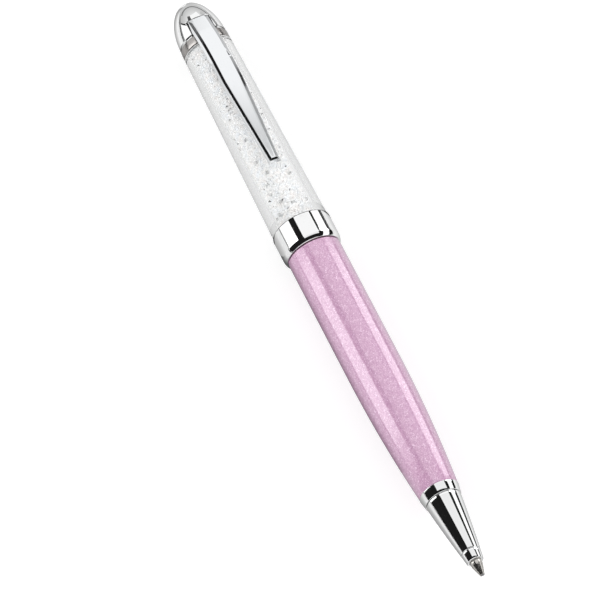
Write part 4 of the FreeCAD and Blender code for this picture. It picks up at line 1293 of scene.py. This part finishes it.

# %% [markdown]
# A pen that lies on a white sheet mirrors that sheet from below, and its lower edges would
# melt into it. Strips a hair above the floor, which only mirrors show, give the chrome its
# dark lower lines. The shade strips are painted shadow: in place of the pen's own shadow on
# the floor beside it, they darken the lacquer and the cap where they come down to the floor.

# %% Strips on the floor
WIDE_START = -0.035
CAP_SHADE_END = -0.063


def floor_strip(name, x_range, y_range, strength, lift, fade=None):
    """Strip between two places along X and two along Y, lifted by so many mm."""
    middle = (sum(x_range) / 2, sum(y_range) / 2, lift * MM)
    bm = bmesh.new()
    bmesh.ops.create_grid(bm, x_segments=1, y_segments=1, size=0.5)
    bmesh.ops.scale(
        bm, verts=bm.verts, vec=(x_range[1] - x_range[0], y_range[1] - y_range[0], 1))
    bmesh.ops.translate(bm, verts=bm.verts, vec=middle)
    show_in_mirrors(bm, f"strip_{name}", strength, fade)


floor_strip("thin", (-1.4, WIDE_START), (-0.19, -0.1), DARK, 0.3)
floor_strip("wide", (WIDE_START, 0.13), (-0.9, -0.1), DARK, 0.3)
floor_strip("right", (-0.18, 0.03), (0.1, 0.7), DARK, 0.3)
floor_strip("rear", (-2.3, -0.1), (-1.2, 1.2), 0.62, 0.1)
floor_strip("cap", (-0.16, -0.078), (-0.075, -0.035), 0.1, 0.3)
# Painted shadow: these four strips stand in for the pen's shadow on the floor beside it.
floor_strip("cap_shade", (-0.1, CAP_SHADE_END), (-0.02, -0.002), 1.0, 0.15,
            fade=("Y", -0.014, -0.005, 0.4))
floor_strip("left_shade", (CAP_SHADE_END, 0.1), (-0.022, -0.003), 0.9, 0.1,
            fade=("Y", -0.022, -0.005, 0.35))
floor_strip("barrel_shade", (-0.014, 0.04), (-0.016, -0.003), 0.62, 0.15,
            fade=("Y", -0.016, -0.008, 0.12))
floor_strip("right_shade", (-0.1, 0.1), (0.003, 0.03), 0.55, 0.1, fade=("Y", 0.006, 0.03, 1.0))

# %% [markdown]
# The sky is pale wherever the camera, a mirror or clear glass looks at it, and gives matt
# surfaces a slightly weaker even light. One background would light everything alike, so two
# of them are mixed by the kind of ray that asks.

# %% Sky
SKY_SEEN = 1.0
SKY_FILL = 0.72

world = bpy.data.worlds.new("white_sky")
world.use_nodes = True
world.node_tree.nodes.clear()
rays = add_node(world, "LightPath")
seen = add_node(world, "Math", operation="MAXIMUM")
join(world, rays.outputs["Is Camera Ray"], seen.inputs[0])
join(world, rays.outputs["Is Glossy Ray"], seen.inputs[1])
seen_through = add_node(world, "Math", operation="MAXIMUM")
join(world, seen.outputs[0], seen_through.inputs[0])
join(world, rays.outputs["Is Transmission Ray"], seen_through.inputs[1])
sky = add_node(world, "MixShader")
join(world, seen_through.outputs[0], sky.inputs["Fac"])
for socket, strength in ((1, SKY_FILL), (2, SKY_SEEN)):
    background = add_node(world, "Background")
    background.inputs["Strength"].default_value = strength
    join(world, background.outputs[0], sky.inputs[socket])
sky_output = add_node(world, "OutputWorld")
join(world, sky.outputs[0], sky_output.inputs["Surface"])
bpy.context.scene.world = world
print("sky fill", SKY_FILL)

# %% [markdown]
# Two large soft lamps, one on each side, add a direction to the even light of the sky. They
# are large so that shadows stay soft, and mirrors and glass don't show them, since the tent's
# boxes are what a mirror should show.

# %% Lamps


def soft_lamp(name, location, power, size):
    """Square lamp of a power in watts and a side in metres, aimed at the pen."""
    lamp = bpy.data.lights.new(name, "AREA")
    lamp.energy = power
    lamp.size = size
    holder = aimed(name, lamp, location, -Vector(location))
    holder.visible_glossy = False
    holder.visible_transmission = False
    holder.visible_camera = False
    print(name, power, "W")


soft_lamp("left_lamp", (-0.2, -0.8, 0.7), 4.9, 0.7)
soft_lamp("right_lamp", (0.1, 0.9, 0.6), 4.5, 0.6)
